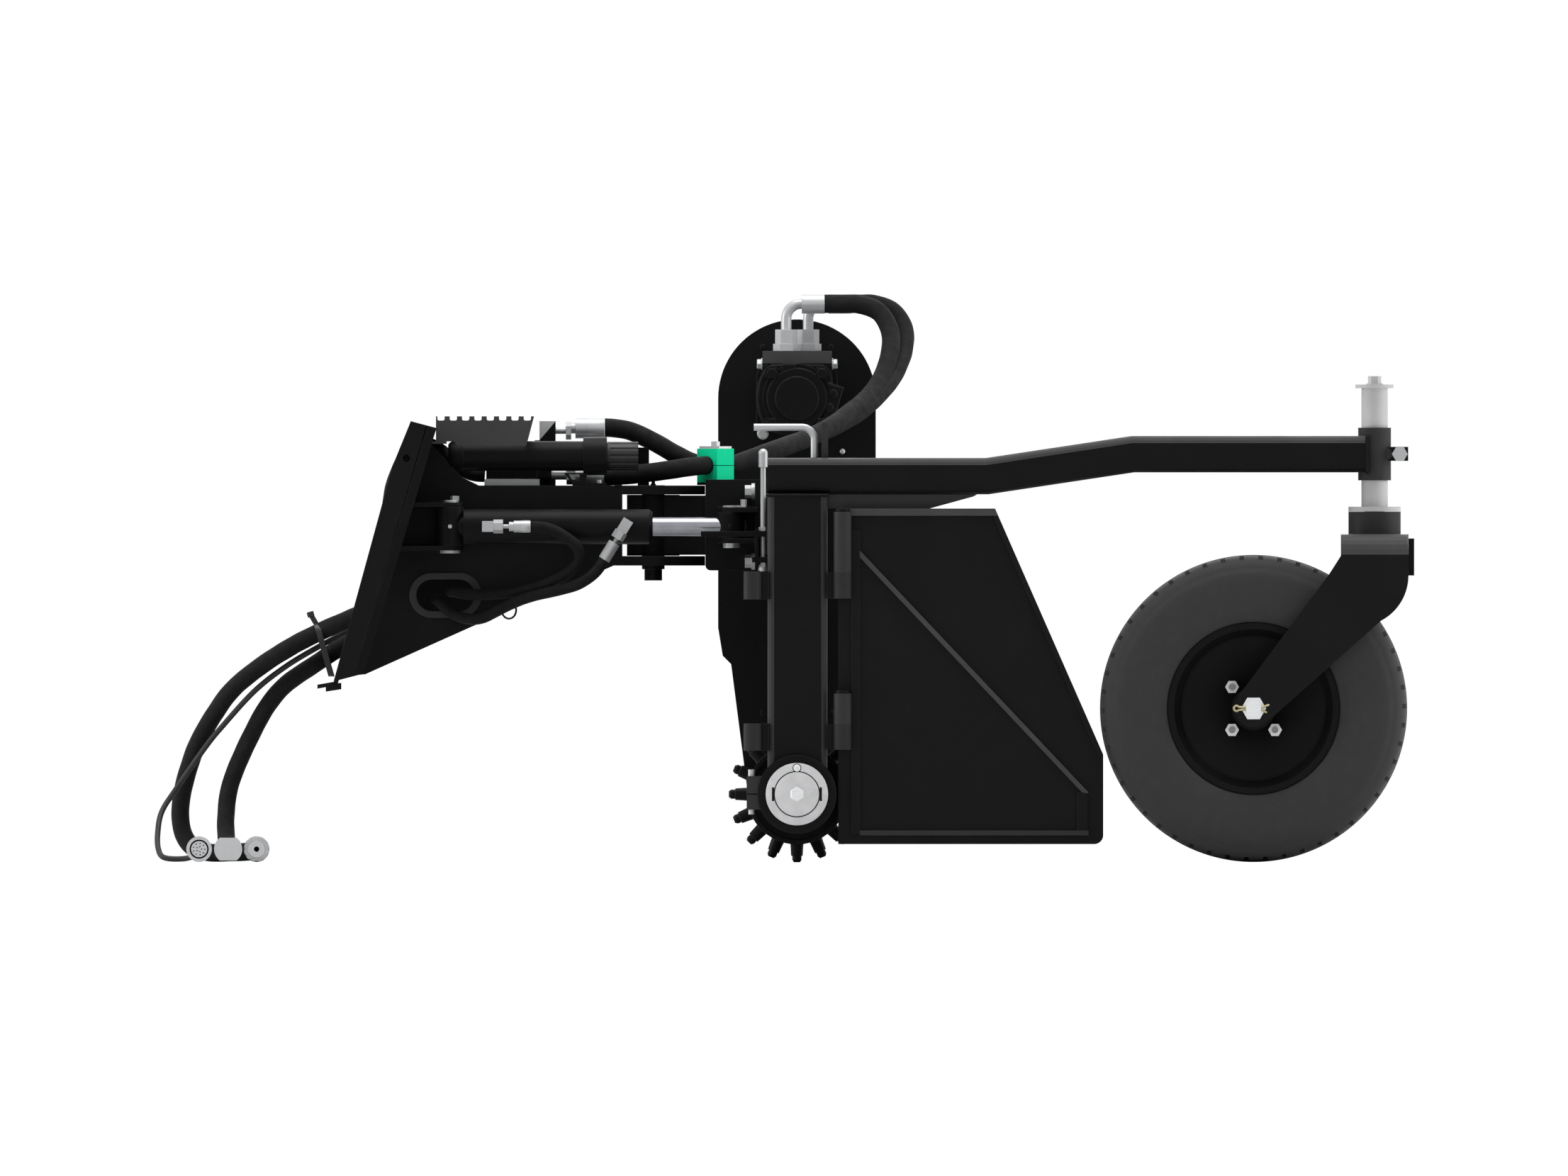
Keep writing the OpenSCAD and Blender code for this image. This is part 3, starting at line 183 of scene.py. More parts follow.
class Solid:
    # gathers simple closed forms, given in millimetres, into one piece

    def __init__(self):
        self.bm = bmesh.new()

    def points(self, places):
        return [self.bm.verts.new(Vector(q) * mm) for q in places]

    def skin(self, rings, closed=False):
        # faces from each ring of points to the next, and over both ends unless the last ring meets the first
        count = len(rings[0])
        for low, high in zip(rings, rings[1:] + rings[:1] if closed else rings[1:]):
            for k in range(count):
                m = (k + 1) % count
                self.bm.faces.new((low[k], low[m], high[m], high[k]))
        if not closed:
            self.bm.faces.new(rings[0][::-1])
            self.bm.faces.new(rings[-1])

    def turned(self, profile, base, along, sides=40, turn=0.0):
        # profile is a list of (distance from base, radius); sides=6 makes a hexagon
        axis = Vector(along).normalized()
        up = Vector((0, 0, 1)) if abs(axis.z) < 0.9 else Vector((1, 0, 0))
        side = axis.cross(up).normalized()
        other = axis.cross(side)
        rings = []
        for run, radius in profile:
            centre = Vector(base) + axis * run
            ring = []
            for angle in circle(sides):
                out = math.cos(angle + turn) * side + math.sin(angle + turn) * other
                ring.append(centre + out * radius)
            rings.append(self.points(ring))
        self.skin(rings)

    def upright(self, outline, y0, y1, edge=0.0):
        # an outline in X and Z, thick along Y, its near edge chamfered by edge
        steps = [(y1, 0.0), (y0 + edge, 0.0), (y0, edge)] if edge else [(y1, 0.0), (y0, 0.0)]
        count = len(outline)
        middle = Vector((sum(p[0] for p in outline) / count, sum(p[1] for p in outline) / count))
        rings = []
        for y, inward in steps:
            ring = []
            for q in outline:
                way = Vector(q) - middle
                place = middle + way * (1 - inward / max(way.length, 0.1))
                ring.append((place.x, y, place.y))
            rings.append(self.points(ring))
        self.skin(rings)

    def tube(self, route, radius, sides=12, closed=False):
        # radius is a number, or a function of the point's place in the route
        line = [Vector(p) * mm for p in route]
        count = len(line)
        side, rings = Vector((0.12, 0.9, 0.3)), []
        for i, point in enumerate(line):
            after = line[(i + 1) % count] if closed else line[min(i + 1, count - 1)]
            before = line[i - 1] if closed else line[max(i - 1, 0)]
            t = (after - before).normalized()
            side = (side - side.dot(t) * t).normalized()
            other = t.cross(side)
            size = radius(i) if callable(radius) else radius
            rings.append([self.bm.verts.new(point + (math.cos(a) * side + math.sin(a) * other) * size * mm)
                          for a in circle(sides)])
        self.skin(rings, closed)

    def piece(self, name, body, material, slot, sharp=35.0, smooth=True):
        # the gathered forms as one visible piece, which replaces no node
        piece = addPiece(name, finished(self.bm, name, sharp), body, material, smooth)
        return piece


class Nodes:
    # a short way to write a material's nodes: make(kind, settings, socket=value or output)
    def __init__(self, name):
        self.material = bpy.data.materials.new(name)
        self.material.use_nodes = True
        self.tree = self.material.node_tree
        self.shader = self.tree.nodes["Principled BSDF"]

    def make(self, kind, settings=None, **inputs):
        made = self.tree.nodes.new(kind)
        for key, value in (settings or {}).items():
            setattr(made, key, value)
        for key, value in inputs.items():
            self.put(made.inputs[key.replace("_", " ")], value)
        return made

    def put(self, socket, value):
        if isinstance(value, bpy.types.NodeSocket):
            self.tree.links.new(value, socket)
        else:
            socket.default_value = value

    def shade(self, **inputs):
        for key, value in inputs.items():
            self.put(self.shader.inputs[key.replace("_", " ")], value)

    def place(self):
        return self.make("ShaderNodeTexCoord").outputs["Object"]

    def noise(self, scale, detail=3.0, rough=0.55, at=None):
        made = self.make("ShaderNodeTexNoise", Vector=at or self.place(), Scale=scale, Detail=detail,
                         Roughness=rough)
        return made.outputs["Fac"]

    def hairLines(self, along, scale, detail):
        # noise that changes in one direction only
        made = self.make("ShaderNodeTexNoise", {"noise_dimensions": "1D"}, W=along, Scale=scale,
                         Detail=detail)
        return made.outputs["Fac"]

    def ramp(self, value, low, high, start=0.0, end=1.0):
        made = self.make("ShaderNodeMapRange", {"clamp": True}, Value=value, From_Min=low, From_Max=high,
                         To_Min=start, To_Max=end)
        return made.outputs["Result"]

    def sum(self, operation, a, b):
        made = self.make("ShaderNodeMath", {"operation": operation})
        self.put(made.inputs[0], a)
        self.put(made.inputs[1], b)
        return made.outputs[0]

    def mixColor(self, share, a, b):
        made = self.make("ShaderNodeMix", {"data_type": "RGBA"})
        self.put(made.inputs[0], share)
        self.put(made.inputs[6], a)
        self.put(made.inputs[7], b)
        return made.outputs[2]

    def roundEdges(self, radius):
        return self.make("ShaderNodeBevel", {"samples": 4}, Radius=radius).outputs["Normal"]

    def edgeShare(self, rounded, low=0.02, high=0.3):
        # 1 on sharp edges, 0 on flats: how far the rounded normal leans from the true one
        true = self.make("ShaderNodeNewGeometry").outputs["Normal"]
        lean = self.make("ShaderNodeVectorMath", {"operation": "DOT_PRODUCT"})
        self.put(lean.inputs[0], rounded)
        self.put(lean.inputs[1], true)
        return self.ramp(self.sum("SUBTRACT", 1.0, lean.outputs["Value"]), low, high)

    def bump(self, height, strength, distance, normal=None):
        made = self.make("ShaderNodeBump", Height=height, Strength=strength, Distance=distance)
        if normal:
            self.put(made.inputs["Normal"], normal)
        return made.outputs["Normal"]


def rgb(r, g, b):
    return (r, g, b, 1.0)


def powderCoat(name, colour, edgeHighlightColour, roughness, radius=1.5 * mm, peel=0.10):
    # satin powder coat: fine orange peel, soft cloudy sheen, and a thin pale painted highlight where edges
    # are rounded, broken into patches
    n = Nodes(name)
    rounded = n.roundEdges(radius)
    edge = n.edgeShare(rounded)
    patchy = n.ramp(n.noise(60, 4), 0.35, 0.65)
    # painted highlight: rounded edges turn towards the pale edge colour, in patches
    paintedEdgeHighlight = n.sum("MULTIPLY", edge, n.ramp(patchy, 0, 1, 0.45, 1.0))
    dust = n.ramp(n.noise(9, 5, 0.6), 0.5, 0.8, 0.0, 0.35)
    base = n.mixColor(dust, rgb(*colour), rgb(*[c * 1.5 + 0.002 for c in colour]))
    n.shade(Base_Color=n.mixColor(paintedEdgeHighlight, base, rgb(*edgeHighlightColour)))
    n.shade(Roughness=n.ramp(n.noise(14, 4), 0.3, 0.7, roughness - 0.05, roughness + 0.07))
    n.shade(Normal=n.bump(n.noise(1100, 2), peel, 0.25 * mm, rounded))
    n.shade(Specular_IOR_Level=0.07)
    return n.material


def platedSteel(name, colour, roughness, metallic, radius=0.8 * mm, grain=(40, 40, 600), tint=0.04):
    # zinc plate: faint cloudy passivation, fine drawn grain, small scuffs
    n = Nodes(name)
    rounded = n.roundEdges(radius)
    cloud = n.ramp(n.noise(35, 4), 0.3, 0.7)
    cool = [c * (1 - tint) + tint * t for c, t in zip(colour, (0.55, 0.62, 0.7))]
    warm = [c * (1 - tint) + tint * t for c, t in zip(colour, (0.85, 0.8, 0.62))]
    stretched = n.make("ShaderNodeMapping", Vector=n.place(), Scale=grain).outputs[0]
    lines = n.noise(1.0, 4, 0.7, stretched)
    base = n.mixColor(cloud, rgb(*cool), rgb(*warm))
    n.shade(Base_Color=n.mixColor(n.ramp(lines, 0.55, 0.75, 0, 0.35), base, rgb(*[c * 0.72 for c in colour])))
    n.shade(Roughness=n.ramp(lines, 0.3, 0.7, roughness - 0.06, roughness + 0.08))
    n.shade(Normal=n.bump(lines, 0.06, 0.1 * mm, rounded))
    n.shade(Metallic=metallic)
    return n.material


def turnedSteel(name, colour, roughness, centre):
    # a faced end plate: rings from the lathe round its own middle, lying across the rake
    n = Nodes(name)
    moved = n.make("ShaderNodeMapping", Vector=n.place(), Location=(-centre[0], 0, -centre[1])).outputs[0]
    parts = n.make("ShaderNodeSeparateXYZ", Vector=moved)
    away = n.sum("SQRT", n.sum("ADD", n.sum("POWER", parts.outputs["X"], 2.0),
                               n.sum("POWER", parts.outputs["Z"], 2.0)), 0.0)
    rings = n.sum("FRACT", n.sum("MULTIPLY", away, 1400.0), 0.0)
    cloud = n.ramp(n.noise(50, 5), 0.35, 0.7)
    n.shade(Base_Color=n.mixColor(cloud, rgb(*colour), rgb(*[c * 0.86 for c in colour])))
    n.shade(Roughness=n.ramp(cloud, 0, 1, roughness, roughness + 0.12))
    n.shade(Normal=n.bump(rings, 0.05, 0.05 * mm, n.roundEdges(0.6 * mm)))
    n.shade(Metallic=0.35)
    return n.material


def chromeRod(name):
    # hard chrome: near mirror, with hair-fine rings left by polishing along the rod
    n = Nodes(name)
    parts = n.make("ShaderNodeSeparateXYZ", Vector=n.place())
    hair = n.hairLines(parts.outputs["X"], 1800.0, 3.0)
    film = n.ramp(n.noise(25, 4), 0.3, 0.75)
    n.shade(Base_Color=n.mixColor(film, rgb(0.3, 0.31, 0.33), rgb(0.24, 0.25, 0.27)))
    n.shade(Roughness=n.ramp(film, 0, 1, 0.2, 0.3))
    n.shade(Normal=n.bump(hair, 0.04, 0.05 * mm))
    n.shade(Metallic=1.0)
    return n.material


def wovenSleeve(name, colour, weave=2.6 * mm):
    # nylon sleeve over the hose: two sets of slanted strands crossing, with a dusty bloom on the high ones
    n = Nodes(name)
    uv = n.make("ShaderNodeUVMap", {"uv_map": "along"}).outputs[0]
    parts = n.make("ShaderNodeSeparateXYZ", Vector=uv)
    turn = 2 * math.pi / weave
    one = n.sum("SINE", n.sum("MULTIPLY", n.sum("ADD", parts.outputs[0], parts.outputs[1]), turn), 0.0)
    two = n.sum("SINE", n.sum("MULTIPLY", n.sum("SUBTRACT", parts.outputs[0], parts.outputs[1]), turn), 0.0)
    strands = n.sum("MAXIMUM", n.sum("MULTIPLY", one, 0.5), n.sum("MULTIPLY", two, 0.5))
    creases = n.noise(70, 4, 0.6)
    height = n.sum("ADD", strands, n.sum("MULTIPLY", creases, 2.2))
    bloom = n.ramp(n.sum("ADD", strands, n.sum("MULTIPLY", n.noise(30, 5), 0.8)), 0.55, 1.1, 0.0, 0.6)
    n.shade(Base_Color=n.mixColor(bloom, rgb(*colour), rgb(*[c * 1.8 + 0.003 for c in colour])))
    n.shade(Roughness=n.ramp(creases, 0.3, 0.7, 0.62, 0.82))
    n.shade(Normal=n.bump(height, 0.55, 0.7 * mm))
    n.shade(Specular_IOR_Level=0.12)
    return n.material


def mouldedRubber(name, colour, roughness, grainScale=700.0, radius=1.2 * mm, bloom=0.3, gloss=0.35):
    # rubber or plastic from a mould: fine even grain and a slightly dusty bloom
    n = Nodes(name)
    cloud = n.ramp(n.noise(22, 5, 0.6), 0.4, 0.75, 0.0, bloom)
    n.shade(Base_Color=n.mixColor(cloud, rgb(*colour), rgb(*[c * 1.5 + 0.004 for c in colour])))
    n.shade(Roughness=n.ramp(n.noise(45, 4), 0.3, 0.7, roughness - 0.06, roughness + 0.08))
    n.shade(Normal=n.bump(n.noise(grainScale, 3), 0.16, 0.3 * mm, n.roundEdges(radius)))
    n.shade(Specular_IOR_Level=gloss)
    return n.material


def tyreRubber(name, colour):
    # dark grey carcass rubber: brushed rings on the wall, scuffed tread
    n = Nodes(name)
    uv = n.make("ShaderNodeUVMap", {"uv_map": "along"}).outputs[0]
    parts = n.make("ShaderNodeSeparateXYZ", Vector=uv)
    rings = n.hairLines(parts.outputs[1], 900.0, 4.0)
    scuff = n.ramp(n.noise(45, 6, 0.65), 0.45, 0.7, 0.0, 0.5)
    n.shade(Base_Color=n.mixColor(scuff, rgb(*colour), rgb(*[c * 1.25 for c in colour])))
    n.shade(Roughness=n.ramp(rings, 0.3, 0.7, 0.62, 0.8))
    height = n.sum("ADD", rings, n.noise(500, 3))
    n.shade(Normal=n.bump(height, 0.2, 0.3 * mm))
    n.shade(Specular_IOR_Level=0.3)
    return n.material


# each coat's second colour is the painted highlight on its rounded edges
black = powderCoat("blackPowderCoat", (0.0065, 0.0065, 0.007), (0.055, 0.055, 0.057), 0.4, 2.0 * mm)
panelBlack = powderCoat("panelBlack", (0.0082, 0.0082, 0.0086), (0.045, 0.045, 0.047), 0.42, 1.2 * mm)
socketGrey = powderCoat("socketGrey", (0.03, 0.03, 0.031), (0.06, 0.06, 0.062), 0.44, 1.5 * mm)
# the next two are the black coat made pale for faces that catch the lamps: painted light
halfLitGrey = powderCoat("halfLitGrey", (0.039, 0.039, 0.04), (0.08, 0.08, 0.082), 0.44, 1.5 * mm)
litGrey = powderCoat("litGrey", (0.064, 0.064, 0.065), (0.1, 0.1, 0.102), 0.44, 1.5 * mm)
castBlack = powderCoat("castingBlack", (0.006, 0.006, 0.0065), (0.06, 0.06, 0.062), 0.5, 3.0 * mm, 0.35)
zinc = platedSteel("zincPlate", (0.46, 0.47, 0.48), 0.38, 0.4)
zincBright = platedSteel("zincBright", (0.52, 0.53, 0.54), 0.34, 0.3, 0.6 * mm, (300, 300, 60))
polished = platedSteel("polishedZinc", (0.88, 0.9, 0.91), 0.3, 0.15, 0.6 * mm)
spindlePaint = platedSteel("groundSpindle", (0.55, 0.55, 0.55), 0.6, 0.0, 1.0 * mm, (30, 30, 900), 0.01)
shaftLow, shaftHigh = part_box("roller_shaft")
shaftMiddle = (shaftLow + shaftHigh) / 2
endPlate = turnedSteel("facedEndPlate", (0.65, 0.65, 0.66), 0.36, (shaftMiddle.x, shaftMiddle.z))
chrome = chromeRod("hardChrome")
sleeve = wovenSleeve("wovenSleeve", (0.0075, 0.0075, 0.008))
smallSleeve = wovenSleeve("smallSleeve", (0.007, 0.007, 0.0075), 2.0 * mm)
jacket = mouldedRubber("cableJacket", (0.014, 0.014, 0.015), 0.5, 900.0)
grommetRubber = mouldedRubber("grommetRubber", (0.017, 0.017, 0.018), 0.6, 500.0, 2.5 * mm)
capPlastic = mouldedRubber("capPlastic", (0.013, 0.013, 0.014), 0.5, 800.0)
clampGreen = mouldedRubber("greenClamp", (0.004, 0.9, 0.44), 0.55, 650.0, 1.0 * mm, 0.04, 0.08)
wheelBlack = powderCoat("wheelBlack", (0.006, 0.006, 0.0065), (0.009, 0.009, 0.0095), 0.45)
chainSteel = platedSteel("chainSteel", (0.2, 0.19, 0.18), 0.42, 0.8)
tiePlastic = mouldedRubber("tiePlastic", (0.02, 0.02, 0.021), 0.4, 900.0, 0.5 * mm, 0.15)
brass = platedSteel("brassPin", (0.42, 0.36, 0.2), 0.36, 0.7, 0.4 * mm)
tyreGrey = tyreRubber("tyreGrey", (0.03, 0.03, 0.0315))

nodeFinish = {
    panelBlack: ["end_panel_near", "end_panel_far", "fork_near", "fork_far"],
    litGrey: ["step_tread"],
    castBlack: ["hydraulic_motor"],
    zinc: ["valve_block", "cylinder_base_pin", "cylinder_ports", "yoke_bolts", "rod_pin", "indicator_rod",
           "hand_pin_near", "hand_pin_far", "motor_ports"],
    zincBright: ["hose_couplers", "cable_plug"],
    polished: ["axle_near", "axle_far"],
    spindlePaint: ["spindle_near", "spindle_far"],
    endPlate: ["roller_shaft"],
    chrome: ["cylinder_rod"],
    grommetRubber: ["hose_grommet"],
    capPlastic: ["canister_cap"],
    chainSteel: ["drive_chain", "motor_sprocket", "roller_sprocket"],
    wheelBlack: ["rim_near", "rim_far"],
    clampGreen: ["hose_clamps"],
}
finishOf = {name: material for material, names in nodeFinish.items() for name in names}


def finishNodes():
    # every node that has no finish of its own is black powder coat
    for name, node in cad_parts.items():
        material = finishOf.get(name, black)
        if not node.material_slots:
            node.data.materials.append(material)
        for place in node.material_slots:
            place.material = material


finishNodes()

caster = {
    "y": 950.0,  # of each caster's middle plane, from the rake's own
    "wheelX": 647.7, "wheelZ": 257.0,
    "studOffset": 35.9,  # of each lug nut from the wheel's middle, sideways and upwards
}
diagonalRib = {"from": (-9, 520), "to": (372, 117), "halfWidth": 9, "panelFace": 1000.5}


def roundEachStud(reach, y0, y1):
    # a box round each of the near wheel's four studs
    offset = caster["studOffset"]
    return [(x - reach, y0, z - reach, x + reach, y1, z + reach)
            for x in (caster["wheelX"] - offset, caster["wheelX"] + offset)
            for z in (caster["wheelZ"] - offset, caster["wheelZ"] + offset)]


# the posts' corner chamfers, painted pale as if lit from the sides
postCorners = [(x - 5.6, y - 5.58, 160, x + 5.6, y + 5.58, 614)
               for x in (-158.5, -69.5) for y in (-994.4, 994.4)]
# the wheel arm's faces that look this way are painted pale, as if lit from above
upAndOut = (0, 0.707, 0.707)
squareness = 0.75  # how squarely a face has to look that way

# faces that have another finish than their node has: boxes round them in millimetres, and where a box alone
# can't tell them apart the way they face, with Y counted outwards. The pale greys on lugs, corners, chamfers,
# flanges, ribs, bands and faces turned up
# are painted light: those faces made paler where they would catch the lamps
faceFinishAndPaintedLight = [
    (zinc, "hose_clamps", [(-300, -100, 690.7, -200, 200, 710)]),
    (zinc, "manual_canister", [(-460, -80, 633.2, -430, -60, 640)]),
    (castBlack, "valve_block", [(-640, -30, 640.5, -548, 70, 690), (-554, -30, 628, -517, 70, 704)]),
    # painted light: the bearing housings' clamp lugs in pale grey
    (halfLitGrey, "bearing_housings", [(-200, -1020, 88, -180, 1020, 144)]),
    (zinc, "bearing_housings", [(-200, -1020, 75, -180, 1020, 87.9), (-200, -1020, 144.1, -180, 1020, 160)]),
    (zinc, "drive_cover", [(-250, 825, 670, 20, 831.9, 700)]),
    (castBlack, "hose_couplers", [(-1022.2, -200.5, 17.3, -1012.8, -164, 26.7)]),
    (castBlack, "cable_plug", [(-1129.8, -197, 5.7, -1097.2, -189, 38.3)]),
    # painted light: a pale band on the motor's top, and pale post corners
    (litGrey, "hydraulic_motor", [(-174, 715, 832.6, -54, 717, 855)]),
    (halfLitGrey, "posts", postCorners),
    (socketGrey, "posts", [(-206, -1030, 180, -173, 1030, 490), (-56, -1030, 180, -20, 1030, 490)]),
    (black, "cylinder_rod", [(-252, -178, 541, -201, -123, 586)]),
]
# the same for nodes that come in a near and a far one, with the near one's boxes
pairFinishAndPaintedLight = [
    (polished, "rim", roundEachStud(12, -1010.5, -1005.2)),
    (chainSteel, "rim", roundEachStud(6, -1019, -1010.5)),
    # painted light: the wheel arm's gusset, top and sleeves, the end panel's edge strips, flange and rib, and
    # the fork's top band are pale where they catch the lamps
    (litGrey, "wheel_arm", [(-64, -976, 588, 192, -924, 614)]),
    (halfLitGrey, "wheel_arm", [(-82, -990, 680, -55, -910, 736)]),
    (litGrey, "wheel_arm", [(-165, -989, 614, 838, -911, 720)], upAndOut),
    (halfLitGrey, "wheel_arm", [(821, -978.5, 637, 878, -921.5, 727)]),
    (zinc, "wheel_arm", [(870, -990, 660, 915, -969.3, 705), (870, -930.7, 660, 915, -900, 705)]),
    (halfLitGrey, "end_panel", [(-60, -1030, 229, -22, -1001.1, 590), (-11, -1001.5, 44, 374, -1000.5, 54)]),
    (litGrey, "end_panel", [(-60, -1003.5, 578.5, 225, -980, 592)]),
    (litGrey, "end_panel", [diagonalRib]),
    (halfLitGrey, "fork", [(805, -994.5, 548.5, 895, -905.5, 586.5)]),
]


def mirrored(box):
    # the same box on the far side; a rib is given for both
    return box if box is diagonalRib else (box[0], -box[4], box[2], box[3], -box[1], box[5])


for material, name, boxes, *facing in pairFinishAndPaintedLight:
    faceFinishAndPaintedLight.append((material, name + "_near", boxes, *facing))
    faceFinishAndPaintedLight.append((material, name + "_far", [mirrored(box) for box in boxes], *facing))


def insideBox(box, x, y, z):
    if box is not diagonalRib:
        return box[0] < x < box[3] and box[1] < y < box[4] and box[2] < z < box[5]
    # a rib that runs aslant from one point to another, on the sheet's outer face
    run = Vector(box["to"]) - Vector(box["from"])
    off = Vector((x, z)) - Vector(box["from"])
    beside = abs(off.cross(run.normalized()))
    return beside < box["halfWidth"] and 0 < off.dot(run) < run.length_squared and abs(y) > box["panelFace"]


def paintFaces():
    for material, name, boxes, *facing in faceFinishAndPaintedLight:
        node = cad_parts[name]
        if material.name not in node.data.materials:
            node.data.materials.append(material)
        place = list(node.data.materials).index(material)
        for face in node.data.polygons:
            x, y, z = (node.matrix_world @ face.center) / mm
            out = Vector((face.normal.x, abs(face.normal.y), face.normal.z))
            facesRight = not facing or out.dot(Vector(facing[0])) > squareness
            if facesRight and any(insideBox(box, x, y, z) for box in boxes):
                face.material_index = place


paintFaces()

# the fork's sheet is bent over at the top, and the bend's faces are painted pale as a highlight: width of the
# bend in millimetres, and the corners it starts from
forkBend = {"width": 34.0, "segments": 6, "top": 548.0, "halfWidth": 122.0, "reach": 0.2, "weld": 0.01,
            "flatAngle": 0.5}


def bendForks():
    for name, side in (("fork_near", -1), ("fork_far", 1)):
        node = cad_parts[name]
        node.data.materials.append(litGrey)
        weld = node.modifiers.new("weld", "WELD")
        weld.merge_threshold = forkBend["weld"] * mm
        flats = node.modifiers.new("flats", "DECIMATE")
        flats.decimate_type, flats.angle_limit = "DISSOLVE", math.radians(forkBend["flatAngle"])
        flats.delimit = {"MATERIAL", "NORMAL"}
        for end in (-1, 1):
            cornerY = side * caster["y"] + end * forkBend["halfWidth"]
            near = []
            for vertex in node.data.vertices:
                _, y, z = (node.matrix_world @ vertex.co) / mm
                if abs(y - cornerY) < forkBend["reach"] and abs(z - forkBend["top"]) < forkBend["reach"]:
                    near.append(vertex.index)
            group = node.vertex_groups.new(name="bent%d" % end)
            group.add(near, 1.0, "REPLACE")
            # each bend's faces take the pale grey: a painted highlight where the sheet turns up towards the
            # top light
            bend = node.modifiers.new("bend%d" % end, "BEVEL")
            bend.width, bend.segments = forkBend["width"] * mm, forkBend["segments"]
            bend.limit_method, bend.vertex_group = "VGROUP", group.name
            bend.use_clamp_overlap = False
            bend.material = len(node.data.materials) - 1


bendForks()
print("materials on", len(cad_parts), "nodes")

# each route is the middle line of a hose, in millimetres
supplyHoses = {
    "supplyHoseA": {
        "node": "supply_hose_a", "radius": 15.6, "carries": "hose_couplers", "end": "fitting",
        "route": [(-838, -35, 417), (-862, -33, 407), (-916, -18, 383), (-969, -14, 355), (-1021, -6, 320),
                  (-1060, 4, 286), (-1091, 16, 243), (-1119, 28, 191), (-1138, 38, 132), (-1145, 42, 85),
                  (-1140, 36, 48), (-1124, 22, 25), (-1098, -2, 16.8), (-1064, -34, 16.4), (-1034, -68, 17.6),
                  (-1019, -100, 21), (-1017.5, -125, 22)],
    },
    "supplyHoseB": {
        "node": "supply_hose_b", "radius": 15.2, "carries": "hose_couplers", "end": "fitting",
        "route": [(-838, 35, 385), (-861, 33, 370), (-884, 26, 355), (-926, 16, 327), (-969, 14, 297),
                  (-1001, 12, 259), (-1027, 4, 211), (-1051, -4, 159), (-1064, -12, 118), (-1069, -30, 74),
                  (-1068, -62, 40), (-1065, -98, 24), (-1065, -125, 22)],
    },
    "controlCable": {
        "node": "control_cable", "radius": 4.7, "carries": "cable_plug", "end": "plug",
        "route": [(-838, 0, 399), (-860, 0, 389), (-916, -2, 359), (-969, -4, 327), (-1021, -6, 286),
                  (-1074, -8, 228), (-1104, -8, 191), (-1153, -12, 121), (-1176, -30, 84), (-1182.6, -58, 50),
                  (-1181.8, -84, 23), (-1172, -100, 8), (-1140, -104, 6), (-1120, -116, 12),
                  (-1113.5, -140, 22)],
    },
}
thinCable = 6  # below this radius a line is a bare cable, with no sleeve on it
hoseStep = 4 * mm  # between the rings of a hose
sleeveLumps = 0.035  # how uneven a sleeve is, as a share of its radius


def makeFreeHoses():
    for name, hose in supplyHoses.items():
        thin = hose["radius"] < thinCable
        line, length = routeThrough(hose["route"], hoseStep)
        mesh = tubeMesh(name, line, hose["radius"] * mm, 16 if thin else 36, 0.0 if thin else sleeveLumps)
        piece = addPiece(name, mesh, "mount", jacket if thin else sleeve)
        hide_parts(hose["node"])
        print(name, round(length, 3), "m")


makeFreeHoses()

